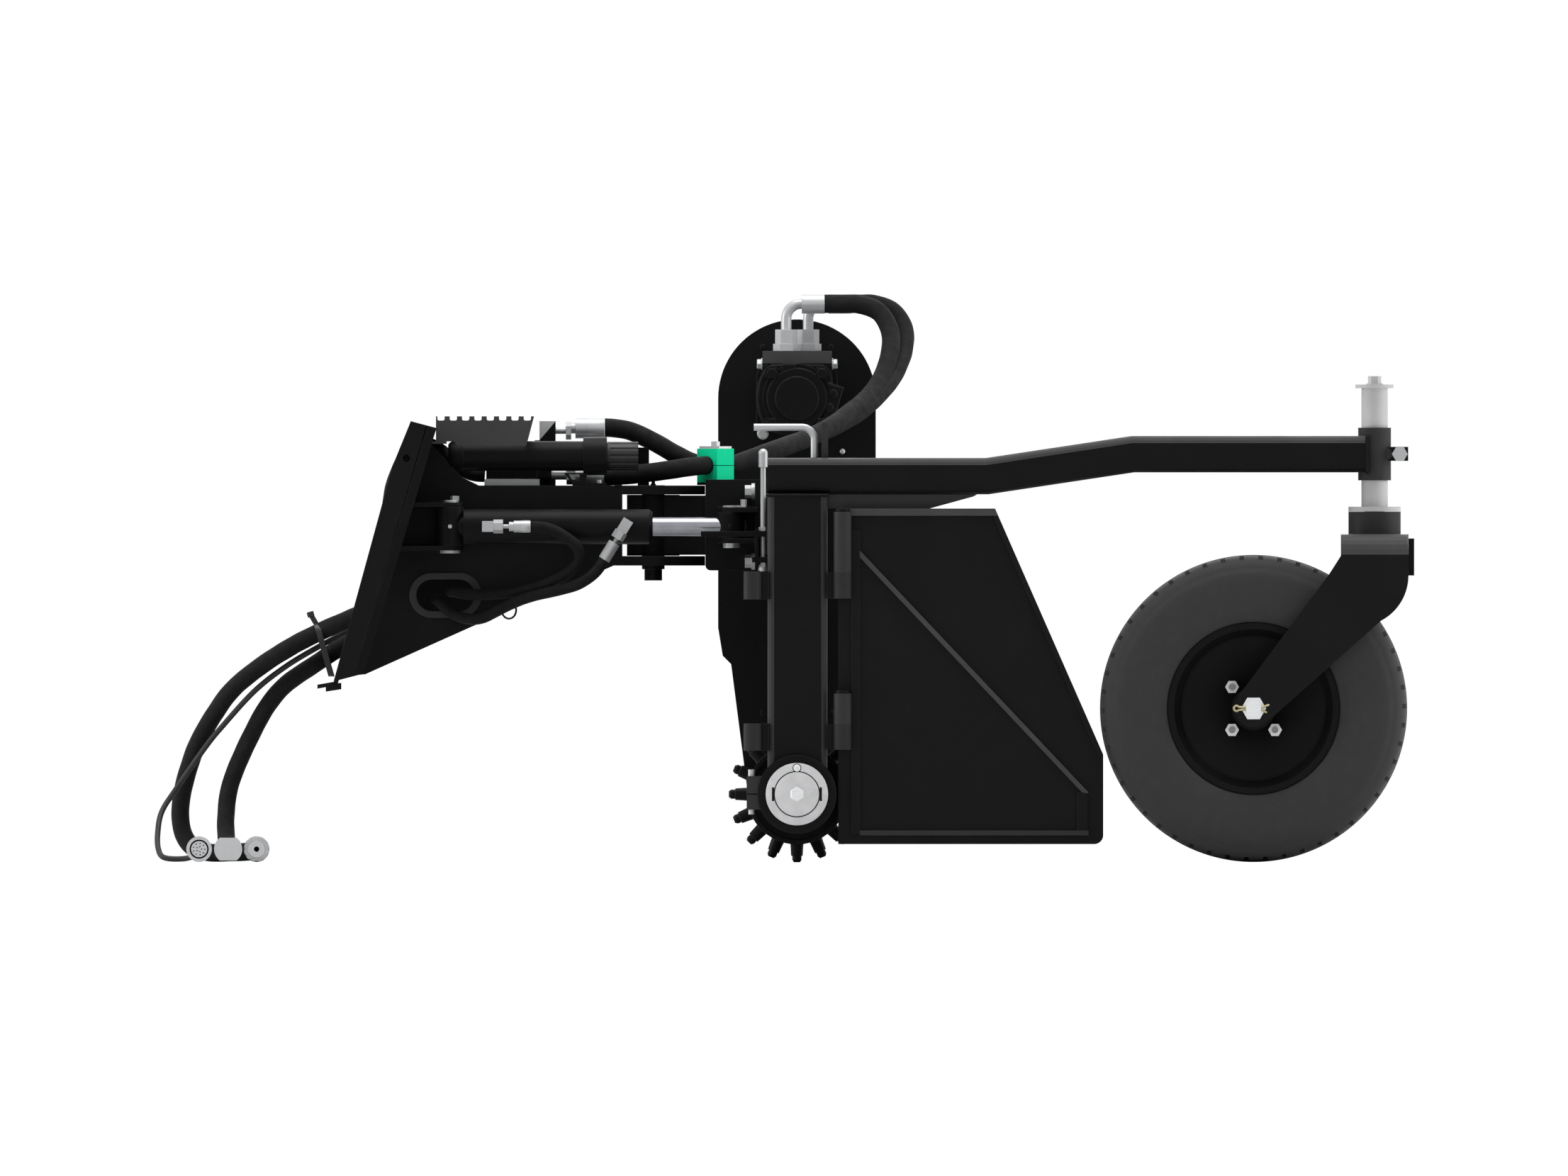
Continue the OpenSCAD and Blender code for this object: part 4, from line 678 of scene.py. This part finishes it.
heldHoses = {
    "motorHoseFront": {
        "radius": 16.1, "body": "header", "node": "motor_hoses",
        "route": [(-265, 6, 662.8), (-251, 20, 662.8), (-237, 34, 662.8), (-218, 53, 665), (-160, 130, 686),
                  (-117, 220, 701), (-69, 330, 722), (-32, 430, 747), (4, 530, 777), (28, 610, 812),
                  (41, 670, 855), (40, 708, 888), (22, 730, 919), (-12, 735, 932), (-45, 735, 933),
                  (-69, 735, 933)],
    },
    "motorHoseRear": {
        "radius": 16.1, "body": "header", "node": "motor_hoses",
        "route": [(-265, 66, 662.8), (-251, 80, 662.8), (-237, 94, 662.8), (-215, 116, 666), (-155, 200, 688),
                  (-104, 290, 706), (-54, 390, 728), (-12, 480, 752), (24, 575, 784), (50, 655, 820),
                  (64, 715, 860), (63, 752, 894), (44, 771, 921), (14, 775, 932), (-8, 775, 933),
                  (-24, 775, 933)],
    },
    "feedHoseUpper": {
        "radius": 16.1, "blend": ("mount", "header"), "node": "feed_hoses",
        "route": [(-436, 30, 726), (-418, 30.3, 725), (-390, 32.5, 719), (-355, 36.5, 703), (-326, 40, 686),
                  (-311, 41.5, 678), (-297, 45.2, 671), (-284, 51.2, 666), (-272, 59.2, 663.4),
                  (-266.4, 64.6, 662.8)],
    },
    "feedHoseLower": {
        "radius": 16.1, "blend": ("mount", "header"), "node": "feed_hoses",
        "route": [(-436, -5, 645), (-420, -6.5, 645.5), (-390, -12, 647.5), (-360, -17, 651),
                  (-326, -21, 655.7), (-311, -19.7, 658), (-297, -15.9, 660), (-284, -9.6, 661.6),
                  (-272, -1, 662.6), (-266.4, 4.6, 662.8)],
    },
    "cylinderHoseBase": {
        "radius": 9.5, "blend": ("mount", "cylinder"), "node": "cylinder_hoses",
        "route": [(-560, -193, 561), (-537, -194, 559.5), (-514, -196, 551), (-495, -197, 539),
                  (-481, -196, 524), (-478, -192, 509), (-486, -187, 494), (-505, -179, 479),
                  (-528, -171, 468), (-560, -158, 457), (-605, -138, 449), (-655, -112, 447),
                  (-688, -88, 452), (-692, -60, 452)],
    },
    "cylinderHoseRod": {
        "radius": 9.5, "blend": ("mount", "cylinder"), "node": "cylinder_hoses",
        "route": [(-437, -206, 506), (-446, -206, 490.5), (-461, -204, 476), (-481, -198, 464),
                  (-506, -190, 456), (-538, -180, 449), (-565, -170, 442), (-593, -158, 431),
                  (-619, -146, 418), (-640, -136, 408), (-662, -126, 406), (-688, -112, 414),
                  (-708, -92, 430), (-718, -60, 440)],
    },
}


def blendOver(piece, fixed, moving):
    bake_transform(piece)


def makeHeldHoses():
    for number, (name, hose) in enumerate(heldHoses.items()):
        line, _ = routeThrough(hose["route"], hoseStep)
        mesh = tubeMesh(name, line, hose["radius"] * mm, 32, sleeveLumps, number * 7.0)
        piece = addPiece(name, mesh, hose.get("body"), sleeve if hose["radius"] > 10 else smallSleeve)
        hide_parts(hose["node"])
        if "blend" in hose:
            blendOver(piece, *hose["blend"])


makeHeldHoses()
print("hoses made")

tyre = {
    "outer": 256.6,
    "notches": 50,  # bars cut into each shoulder
    "notchWidth": 7.6, "notchDepth": 7.6, "notchRadius": 250.0,
    "notchInner": 60, "notchOuter": 83,  # across, from the tread's middle
    "notchFoot": 236.0, "notchRise": 8.0,  # the radius where a notch starts, and how soon it is full
    "grooves": [-38, -13, 13, 38],  # round the tread, from its middle
    "grooveHalf": 3.0, "grooveDepth": 6.0,
    "crown": 1.6,  # how much lower the tread is at its edges than in its middle
    "beadRadius": 142.8,
}


def tyreProfile():
    # radius and place across, from one bead over the tread to the other
    wall = [(tyre["beadRadius"], 88), (146, 93), (150, 95.5), (154, 96), (156, 97.5), (162, 98.6),
            (178, 100.6), (195, 101.2), (210, 101), (222, 99.6), (230, 97.6), (231, 96.6), (236, 95.2),
            (241, 92.6), (246, 88.8), (248.5, 85.5), (250, 83), (252.6, 76), (254, 68), (254.6, 60),
            (255, 54)]
    spots = []
    for middle in tyre["grooves"]:
        edge = tyre["grooveHalf"]
        spots += [(middle - edge, 0), (middle - edge + 0.8, 1), (middle + edge - 0.8, 1), (middle + edge, 0)]
    tread = [(tyre["outer"] - tyre["crown"] * (y / 54) ** 2 - tyre["grooveDepth"] * deep, y)
             for y, deep in sorted(spots)]
    return [(r, -y) for r, y in wall] + tread + wall[::-1]


def makeTyre(name, node, body):
    lo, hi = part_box(node)
    middle = (lo + hi) / 2
    profile = tyreProfile()
    step = 2 * math.pi / tyre["notches"]
    cut = tyre["notchWidth"] / tyre["notchRadius"]
    bar = step - cut
    stops = [0.0, 0.06 * cut, 0.94 * cut, cut, cut + bar * 0.25, cut + bar * 0.5, cut + bar * 0.75]
    bm = bmesh.new()
    uv = bm.loops.layers.uv.new("along")
    rings, angles = [], []
    for notch in range(tyre["notches"]):
        for k, stop in enumerate(stops):
            angle = notch * step + stop
            ring = []
            for r, y in profile:
                if k in (1, 2) and tyre["notchInner"] <= abs(y) <= tyre["notchOuter"]:
                    r -= tyre["notchDepth"] * min(1.0, (r - tyre["notchFoot"]) / tyre["notchRise"])
                r *= mm
                ring.append(bm.verts.new(middle + Vector((math.cos(angle) * r, y * mm, math.sin(angle) * r))))
            rings.append(ring)
            angles.append(angle)
    total = len(rings)
    runs = [0.0]
    for (r0, y0), (r1, y1) in zip(profile, profile[1:]):
        runs.append(runs[-1] + math.hypot(r1 - r0, y1 - y0) * mm)
    for i in range(total):
        j = (i + 1) % total
        a0, a1 = angles[i], angles[j] if j else 2 * math.pi
        for k in range(len(profile) - 1):
            face = bm.faces.new((rings[i][k], rings[j][k], rings[j][k + 1], rings[i][k + 1]))
            for loop, mark in zip(face.loops, ((a0, k), (a1, k), (a1, k + 1), (a0, k + 1))):
                loop[uv].uv = (mark[0] * tyre["notchRadius"] * mm, runs[mark[1]])
        bm.faces.new((rings[i][-1], rings[j][-1], rings[j][0], rings[i][0]))  # the bead seat
    piece = addPiece(name, finished(bm, name, 38), body, tyreGrey)
    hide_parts(node)


makeTyre("tyreTreadNear", "tyre_near", "wheel_near")
makeTyre("tyreTreadFar", "tyre_far", "wheel_far")
print("tyres made")

hoseTie = {
    # Y, Z and radius of what the band lies round: hose, cable, hose, and last its own slack
    "round": [(-19, 381, 16.4), (2, 352, 6), (19, 342, 16.0), (13, 323, 11)],
    "x": -907, "z": 362, "lean": 0.29,  # it leans with the hoses
    "width": 10.0, "thick": 1.8, "steps": 48,
    "end": [(-916, 395), (-926, 412)], "endY": -19,  # the band runs on to its head
}


def makeHoseTie():
    # a loose band round the two hoses and the cable, with its head standing above them
    band = []
    for angle in circle(hoseTie["steps"]):
        way = Vector((math.sin(angle), math.cos(angle)))
        y, z, reach = max(hoseTie["round"], key=lambda held: held[0] * way.x + held[1] * way.y + held[2])
        band.append(Vector((y, z)) + way * reach)
    middle = sum(band, Vector((0, 0))) / len(band)
    half, thick = hoseTie["width"] / 2, hoseTie["thick"]
    solid, rings, ends = Solid(), [], []
    for inner in band:
        outer = inner + (inner - middle).normalized() * thick
        x = hoseTie["x"] - (inner.y - hoseTie["z"]) * hoseTie["lean"]
        corners = [(x - half, inner), (x + half, inner), (x + half, outer), (x - half, outer)]
        rings.append(solid.points([(at, *place) for at, place in corners]))
    solid.skin(rings, closed=True)
    y = hoseTie["endY"]
    for x, z in hoseTie["end"]:
        ends.append(solid.points([(x - half, y - thick, z), (x + half, y - thick, z),
                                  (x + half, y + thick, z), (x - half, y + thick, z)]))
    solid.skin(ends)
    solid.turned([(0, 7.4), (1, 8.2), (8, 8.2), (9, 7.4)], (x, y, z - 2), (-0.3, 0, 1), 4, math.radians(45))
    solid.piece("cableTieFree", "mount", tiePlastic, "hose_rubber", smooth=False)


boomTie = {"middle": (-596, -134, 421), "size": (12, 3, 14), "wire": 1.7}


def makeBoomTie():
    # a thin ring round the angle cylinder's hoses, below the boom
    (x, y, z), (dx, dy, dz) = boomTie["middle"], boomTie["size"]
    ring = [(x + dx * math.cos(a), y + dy * math.sin(a), z + dz * math.sin(a)) for a in circle(32)]
    solid = Solid()
    solid.tube(ring, boomTie["wire"], 8, closed=True)
    blendOver(solid.piece("cableTieBoom", None, tiePlastic, "hose_rubber"), "mount", "cylinder")


cotterPin = {
    "wire": 1.9, "length": 51.0, "gap": 2.1, "eye": 4.4,
    "back": 25.0, "aside": 139.0,  # of its eye, from the wheel's middle
}


def makeCotterPins():
    # bent wire through each axle end, with a round eye and two legs spread a little
    x, z, gap = caster["wheelX"] - cotterPin["back"], caster["wheelZ"], cotterPin["gap"]
    end, eyeRadius = x + cotterPin["length"], cotterPin["eye"]
    for name, body, side in (("cotterPinNear", "fork_near", -1), ("cotterPinFar", "fork_far", 1)):
        y = side * (caster["y"] + cotterPin["aside"])
        upper = [(end, y - side * 2, z + gap + 4), (x + 40, y, z + gap), (x + 6, y, z + gap)]
        turns = [math.radians(35 + 290 * k / 20) for k in range(21)]
        eye = [(x - 3.4 + eyeRadius * math.cos(a), y, z + eyeRadius * math.sin(a)) for a in turns]
        lower = [(x + 6, y, z - gap), (x + 38, y, z - gap), (end - 4, y, z - gap - 5)]
        solid = Solid()
        solid.tube(upper + eye + lower, cotterPin["wire"], 12)
        solid.piece(name, body, brass, "zinc_plate")


motorFace = {
    "x": -115.0, "z": 775.2,
    "neck": [(-25.5, 58), (-26, 34), (-31, 25), (-36.5, 14), (-38.5, 0), (-36.3, -13), (-30, -24), (-20, -33),
             (-7, -38), (7, -38), (20, -33), (30, -24), (36.3, -13), (38.5, 0), (35, 8), (24, 22), (12, 31),
             (4, 40), (-1, 50), (-3, 58)],
    "casting": [(-44, 57), (-57, 45), (-65, 26), (-68.5, 0), (-65, -24), (-57, -44), (-44, -56), (-20, -62),
                (20, -62), (48, -56), (60, -42), (66, -28), (60, 24), (58, 45), (44, 57)],
    "boss": [(51.8, 26.3), (78.5, 18.5), (61, -40.5), (41, -40)],
    # near and far Y of each outline, and its chamfer
    "depths": {"neck": (698.5, 706, 1.8), "casting": (707, 745, 3.0), "boss": (701, 740, 2.0)},
    "plugs": [(60.9, 7.9), (53.8, -15.3)], "plugFace": 701.5,
    "sideBolts": [((-172.6, 726, 832.5), (-1, 0, 0)), ((-56.4, 726, 832.5), (1, 0, 0)),
                  ((-172, 812, 716), (0, -1, 0))],
    "coverBolts": [(-190.6, 686.3), (-39, 686.3)], "coverFace": 829.4,
}


def makeMotorFace():
    solid = Solid()
    for part, (y0, y1, edge) in motorFace["depths"].items():
        solid.upright([(x + motorFace["x"], z + motorFace["z"]) for x, z in motorFace[part]], y0, y1, edge)
    for x, z in motorFace["plugs"]:
        base = (x + motorFace["x"], motorFace["plugFace"], z + motorFace["z"])
        solid.turned([(0, 6.4), (2, 6.4), (3, 5.6)], base, (0, -1, 0), 32)
    solid.piece("motorCasting", "header", castBlack, "black_paint")
    bolts = Solid()
    for base, along in motorFace["sideBolts"]:
        bolts.turned([(0, 9.8), (2, 9.8)], base, along, 36)
        bolts.turned([(1.5, 9), (8, 9), (9.2, 7.8)], base, along, 6)
    for x, z in motorFace["coverBolts"]:
        base = (x, motorFace["coverFace"], z)
        bolts.turned([(0, 4.5), (1.0, 4.5), (2.6, 3.2), (3.1, 1.6)], base, (0, -1, 0), 28)
    bolts.piece("motorFlangeBolts", "header", zinc, "zinc_plate")


ferrules = {
    # base, direction, length, radius
    "header": [((-106.9, 735, 933), (1, 0, 0), 37, 16.5), ((-62.2, 775, 933), (1, 0, 0), 37, 16.5)],
    "mount": [((-484.5, 30, 725.2), (1, 0, 0), 47.5, 17.5), ((-484.5, -5, 645.5), (1, 0, 0), 47.5, 15.5)],
    "cylinder": [((-587, -192.8, 561), (1, 0, 0), 26.5, 10.3)],
}


def makeFerrules():
    for body, items in ferrules.items():
        solid = Solid()
        for base, along, length, radius in items:
            profile = [(0, radius - 2.2), (1.2, radius - 0.7), (length * 0.4, radius - 0.35),
                       (length * 0.45, radius), (length - 1.2, radius), (length, radius - 1.0)]
            solid.turned(profile, base, along, 48)
        solid.piece(body + "Ferrules", body, zincBright, "zinc_plate", 50)


endCap = {
    "ring": 52.0, "disc": 36.9, "gap": 1.7,
    "screwUp": 43.8,  # of the cover's screw, from the shaft's middle
    "slotHalf": 11.5,
}


def makeEndCaps():
    # each end of the roller: a clamped ring, a round cover in it held by one screw, and a slot each side,
    # with thin black pieces as painted shade in the groove, round the screw head and in each slot
    x, z = shaftMiddle.x / mm, shaftMiddle.z / mm
    disc, ring, half = endCap["disc"], endCap["ring"], endCap["slotHalf"]
    groove = disc + endCap["gap"]
    for name, face, side in (("endCapNear", shaftLow.y / mm, -1), ("endCapFar", shaftHigh.y / mm, 1)):
        middle, screw, out = (x, face, z), (x, face, z + endCap["screwUp"]), (0, side, 0)
        solid, rings = Solid(), []
        for run, radius in ((-1.0, groove), (1.6, groove), (2.0, groove + 0.4), (2.0, ring - 1.2),
                            (1.2, ring), (-1.0, ring)):
            rings.append(solid.points([(x + radius * math.cos(a), face + side * run, z + radius * math.sin(a))
                                       for a in circle(96)]))
        solid.skin(rings, closed=True)
        solid.turned([(-1, disc), (2.2, disc), (3.4, disc - 2.6), (3.4, 12.0), (3.6, 11.8)], middle, out, 96)
        solid.piece(name, "roller", endPlate, "zinc_plate")
        small = Solid()
        small.turned([(3.0, 12.6), (3.8, 12.6), (4.0, 11.6), (8.4, 11.6), (9.2, 10.6)], middle, out, 6, 0.52)
        small.turned([(1.8, 6), (2.6, 6), (3.2, 5.2), (3.3, 2.4), (2.4, 2.0)], screw, out, 32)
        small.piece(name + "Screws", "roller", polished, "zinc_plate")
        # painted shade: black pieces at the bottom of the groove, round the screw head, and in place of each
        # slot's hollow
        slotShade = Solid()
        slotShade.turned([(-1, groove + 0.8), (0.7, groove + 0.8)], middle, out, 64)
        slotShade.turned([(1.9, 7.4), (2.15, 7.4)], screw, out, 32)
        y0, y1 = sorted((face + side * 1.0, face + side * 2.15))
        for at in (x - groove - 1.2, x + groove + 1.2):
            corners = [(at - 2, z - half), (at + 2, z - half), (at + 2, z + half), (at - 2, z + half)]
            slotShade.upright(corners, y0, y1)
        slotShade.piece(name + "Slots", "roller", castBlack, "black_paint")


makeEndCaps()

canisterEnd = {
    "at": (-697.5, -70, 678.6),
    "profile": [(0, 19.0), (2.5, 22.5), (5, 24.2), (12, 25.6), (24, 25.6), (25, 25.1)],  # run and radius
}
valveHose = {
    "radius": 12.5,
    "route": [(-800, 10, 560), (-790, 10, 630), (-766, 10, 682), (-737, 10, 698), (-710, 12, 687),
              (-686, 14, 665), (-660, 16, 650), (-637, 18, 647)],
}


def makeCanisterEnd():
    # the closed end of the tube, and the hose that rises behind it to the valve
    solid = Solid()
    solid.turned(canisterEnd["profile"], canisterEnd["at"], (1, 0, 0), 48)
    solid.piece("canisterEnd", "mount", castBlack, "black_paint")
    line, _ = routeThrough(valveHose["route"], hoseStep)
    mesh = tubeMesh("valveHose", line, valveHose["radius"] * mm, 32, sleeveLumps, 3.0)
    piece = addPiece("valveHose", mesh, "mount", sleeve)


makeCanisterEnd()


def onBothSides(points, *rest):
    # the same bead on the near and on the far side
    return [([(x, side * y, z) for x, y, z in points], *rest) for side in (-1, 1)]


ripple = {"spacing": 1.6, "low": 0.86, "height": 0.16, "turn": 0.9, "lumps": 0.1, "lumpScale": 0.13}

weldBeads = {
    # each bead's corners in millimetres, its radius, and whether it closes on itself
    "header": [
        *onBothSides([(-164.5, 1000.5, 613), (-63.5, 1000.5, 613), (-63.5, 899.5, 613), (-164.5, 899.5, 613)],
                     3.0, True),
        *onBothSides([(837, 988, 651), (837, 988, 712), (837, 912, 712), (837, 912, 651)], 2.6, True),
        *onBothSides([(-186, 98, 489), (-186, 98, 638)], 2.6, False),
        ([(-247, -98.5, 593.5), (-186, -98.5, 593.5)], 2.2, False),
        ([(-247, -98.5, 541.5), (-186, -98.5, 541.5)], 2.2, False),
        ([(-247, -98.5, 532.5), (-186, -98.5, 532.5)], 2.2, False),
        ([(-163, -900.5, 514), (-163, -900.5, 610)], 2.6, False),
    ],
    "mount": [
        ([(-788, -87, 602), (-676, -87, 602)], 2.6, False),
        ([(-788, -87, 593), (-676, -87, 593)], 2.2, False),
        ([(-788, -87, 529.5), (-676, -87, 529.5)], 2.2, False),
        ([(-788, -87, 520), (-676, -87, 520)], 2.6, False),
        ([(-407, -87, 629), (-420, -87, 629)], 2.0, False),
        *onBothSides([(-864, 87.5, 330), (-777, 87.5, 648)], 3.0, False),
    ],
}


def rippled(radius):
    # the bead's radius at each step along it
    def size(i):
        lump = noise.noise(Vector((i * ripple["lumpScale"], radius, 0)))
        rise = abs(math.sin(i * ripple["turn"]))
        return radius * (ripple["low"] + ripple["height"] * rise + ripple["lumps"] * lump)
    return size


def makeWeldBeads():
    # each bead is a row of overlapping ripples, as the torch leaves it
    for body, runs in weldBeads.items():
        solid = Solid()
        for points, radius, closed in runs:
            corners = [Vector(q) for q in points]
            if closed:
                corners.append(corners[0])
            line = []
            for a, b in zip(corners, corners[1:]):
                count = max(3, int((b - a).length / ripple["spacing"]))
                line += [a.lerp(b, k / count) for k in range(count)]
            if not closed:
                line.append(corners[-1])
            solid.tube(line, rippled(radius), 8, closed)
        solid.piece(body + "WeldBeads", body, black, "black_paint", 80)


makeHoseTie()
makeBoomTie()
makeCotterPins()
makeMotorFace()
makeFerrules()
makeWeldBeads()
print("small pieces made")

studio = {
    "floorSize": 14.0, "floorDrop": 0.5 * mm, "floorColour": (0.86, 0.86, 0.86),
    "skyTop": 0.5, "skySide": 0.1, "skyRise": 0.8,
    # where each lamp stands, what it looks at, its size in metres and its power in watts
    "lamps": {
        "topSoftbox": ((0, -0.6, 6.2), (0, -0.6, 0), 5.0, 340.0),
        "leftSoftbox": ((-6.5, -1.2, 1.6), (0, -0.9, 0.5), 4.0, 220.0),
        "rightSoftbox": ((6.5, -1.2, 1.6), (0, -0.9, 0.5), 4.0, 190.0),
        "backSoftbox": ((0.5, 6.5, 4.0), (0, 0, 0.4), 4.0, 90.0),
    },
}


def makeFloor():
    bm = bmesh.new()
    half, drop = studio["floorSize"] / 2, studio["floorDrop"]
    bm.faces.new([bm.verts.new((x * half, y * half, -drop)) for x, y in ((-1, -1), (1, -1), (1, 1), (-1, 1))])
    mesh = bpy.data.meshes.new("floor")
    bm.to_mesh(mesh)
    bm.free()
    n = Nodes("paleFloor")
    n.shade(Base_Color=n.mixColor(n.noise(3, 4), rgb(*studio["floorColour"]),
                                  rgb(*[c * 0.985 for c in studio["floorColour"]])))
    n.shade(Roughness=0.9, Specular_IOR_Level=0.1)
    mesh.materials.append(n.material)
    floor = bpy.data.objects.new("floor", mesh)
    scene.collection.objects.link(floor)
    floor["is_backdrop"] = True


def makeSky():
    world = bpy.data.worlds.new("studioSky")
    scene.world = world
    world.use_nodes = True
    tree = world.node_tree
    nodes, links = tree.nodes, tree.links
    nodes.clear()
    out, back = nodes.new("ShaderNodeOutputWorld"), nodes.new("ShaderNodeBackground")
    white, choose = nodes.new("ShaderNodeBackground"), nodes.new("ShaderNodeMixShader")
    rays, place = nodes.new("ShaderNodeLightPath"), nodes.new("ShaderNodeTexCoord")
    parts, height = nodes.new("ShaderNodeSeparateXYZ"), nodes.new("ShaderNodeMapRange")
    links.new(place.outputs["Generated"], parts.inputs[0])
    links.new(parts.outputs["Z"], height.inputs["Value"])
    for key, number in (("From Min", 0.0), ("From Max", studio["skyRise"]),
                        ("To Min", studio["skySide"]), ("To Max", studio["skyTop"])):
        height.inputs[key].default_value = number
    links.new(height.outputs["Result"], back.inputs["Strength"])
    back.inputs["Color"].default_value = rgb(1, 1, 1)
    white.inputs["Strength"].default_value = 1.0
    white.inputs["Color"].default_value = rgb(1, 1, 1)
    share = rays.outputs["Is Camera Ray"]
    for kind in ("Is Glossy Ray", "Is Transmission Ray"):
        either = nodes.new("ShaderNodeMath")
        either.operation = "MAXIMUM"
        links.new(share, either.inputs[0])
        links.new(rays.outputs[kind], either.inputs[1])
        share = either.outputs[0]
    links.new(share, choose.inputs[0])
    links.new(back.outputs[0], choose.inputs[1])
    links.new(white.outputs[0], choose.inputs[2])
    links.new(choose.outputs[0], out.inputs["Surface"])


def makeLamp(name, place, aim, size, power):
    data = bpy.data.lights.new(name, "AREA")
    data.shape, data.size, data.energy = "SQUARE", size, power
    lamp = bpy.data.objects.new(name, data)
    lamp.location = place
    lamp.rotation_euler = (Vector(aim) - Vector(place)).to_track_quat("-Z", "Y").to_euler()
    scene.collection.objects.link(lamp)


makeFloor()
makeSky()
for name, lamp in studio["lamps"].items():
    makeLamp(name, *lamp)
scene.view_settings.view_transform = "Standard"
print("studio set")

visualBox = [list(corner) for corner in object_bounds()]
for name, box in (("visual model", visualBox), ("CAD", cadBox)):
    print(name, [round(b - a, 4) for a, b in zip(*box)])
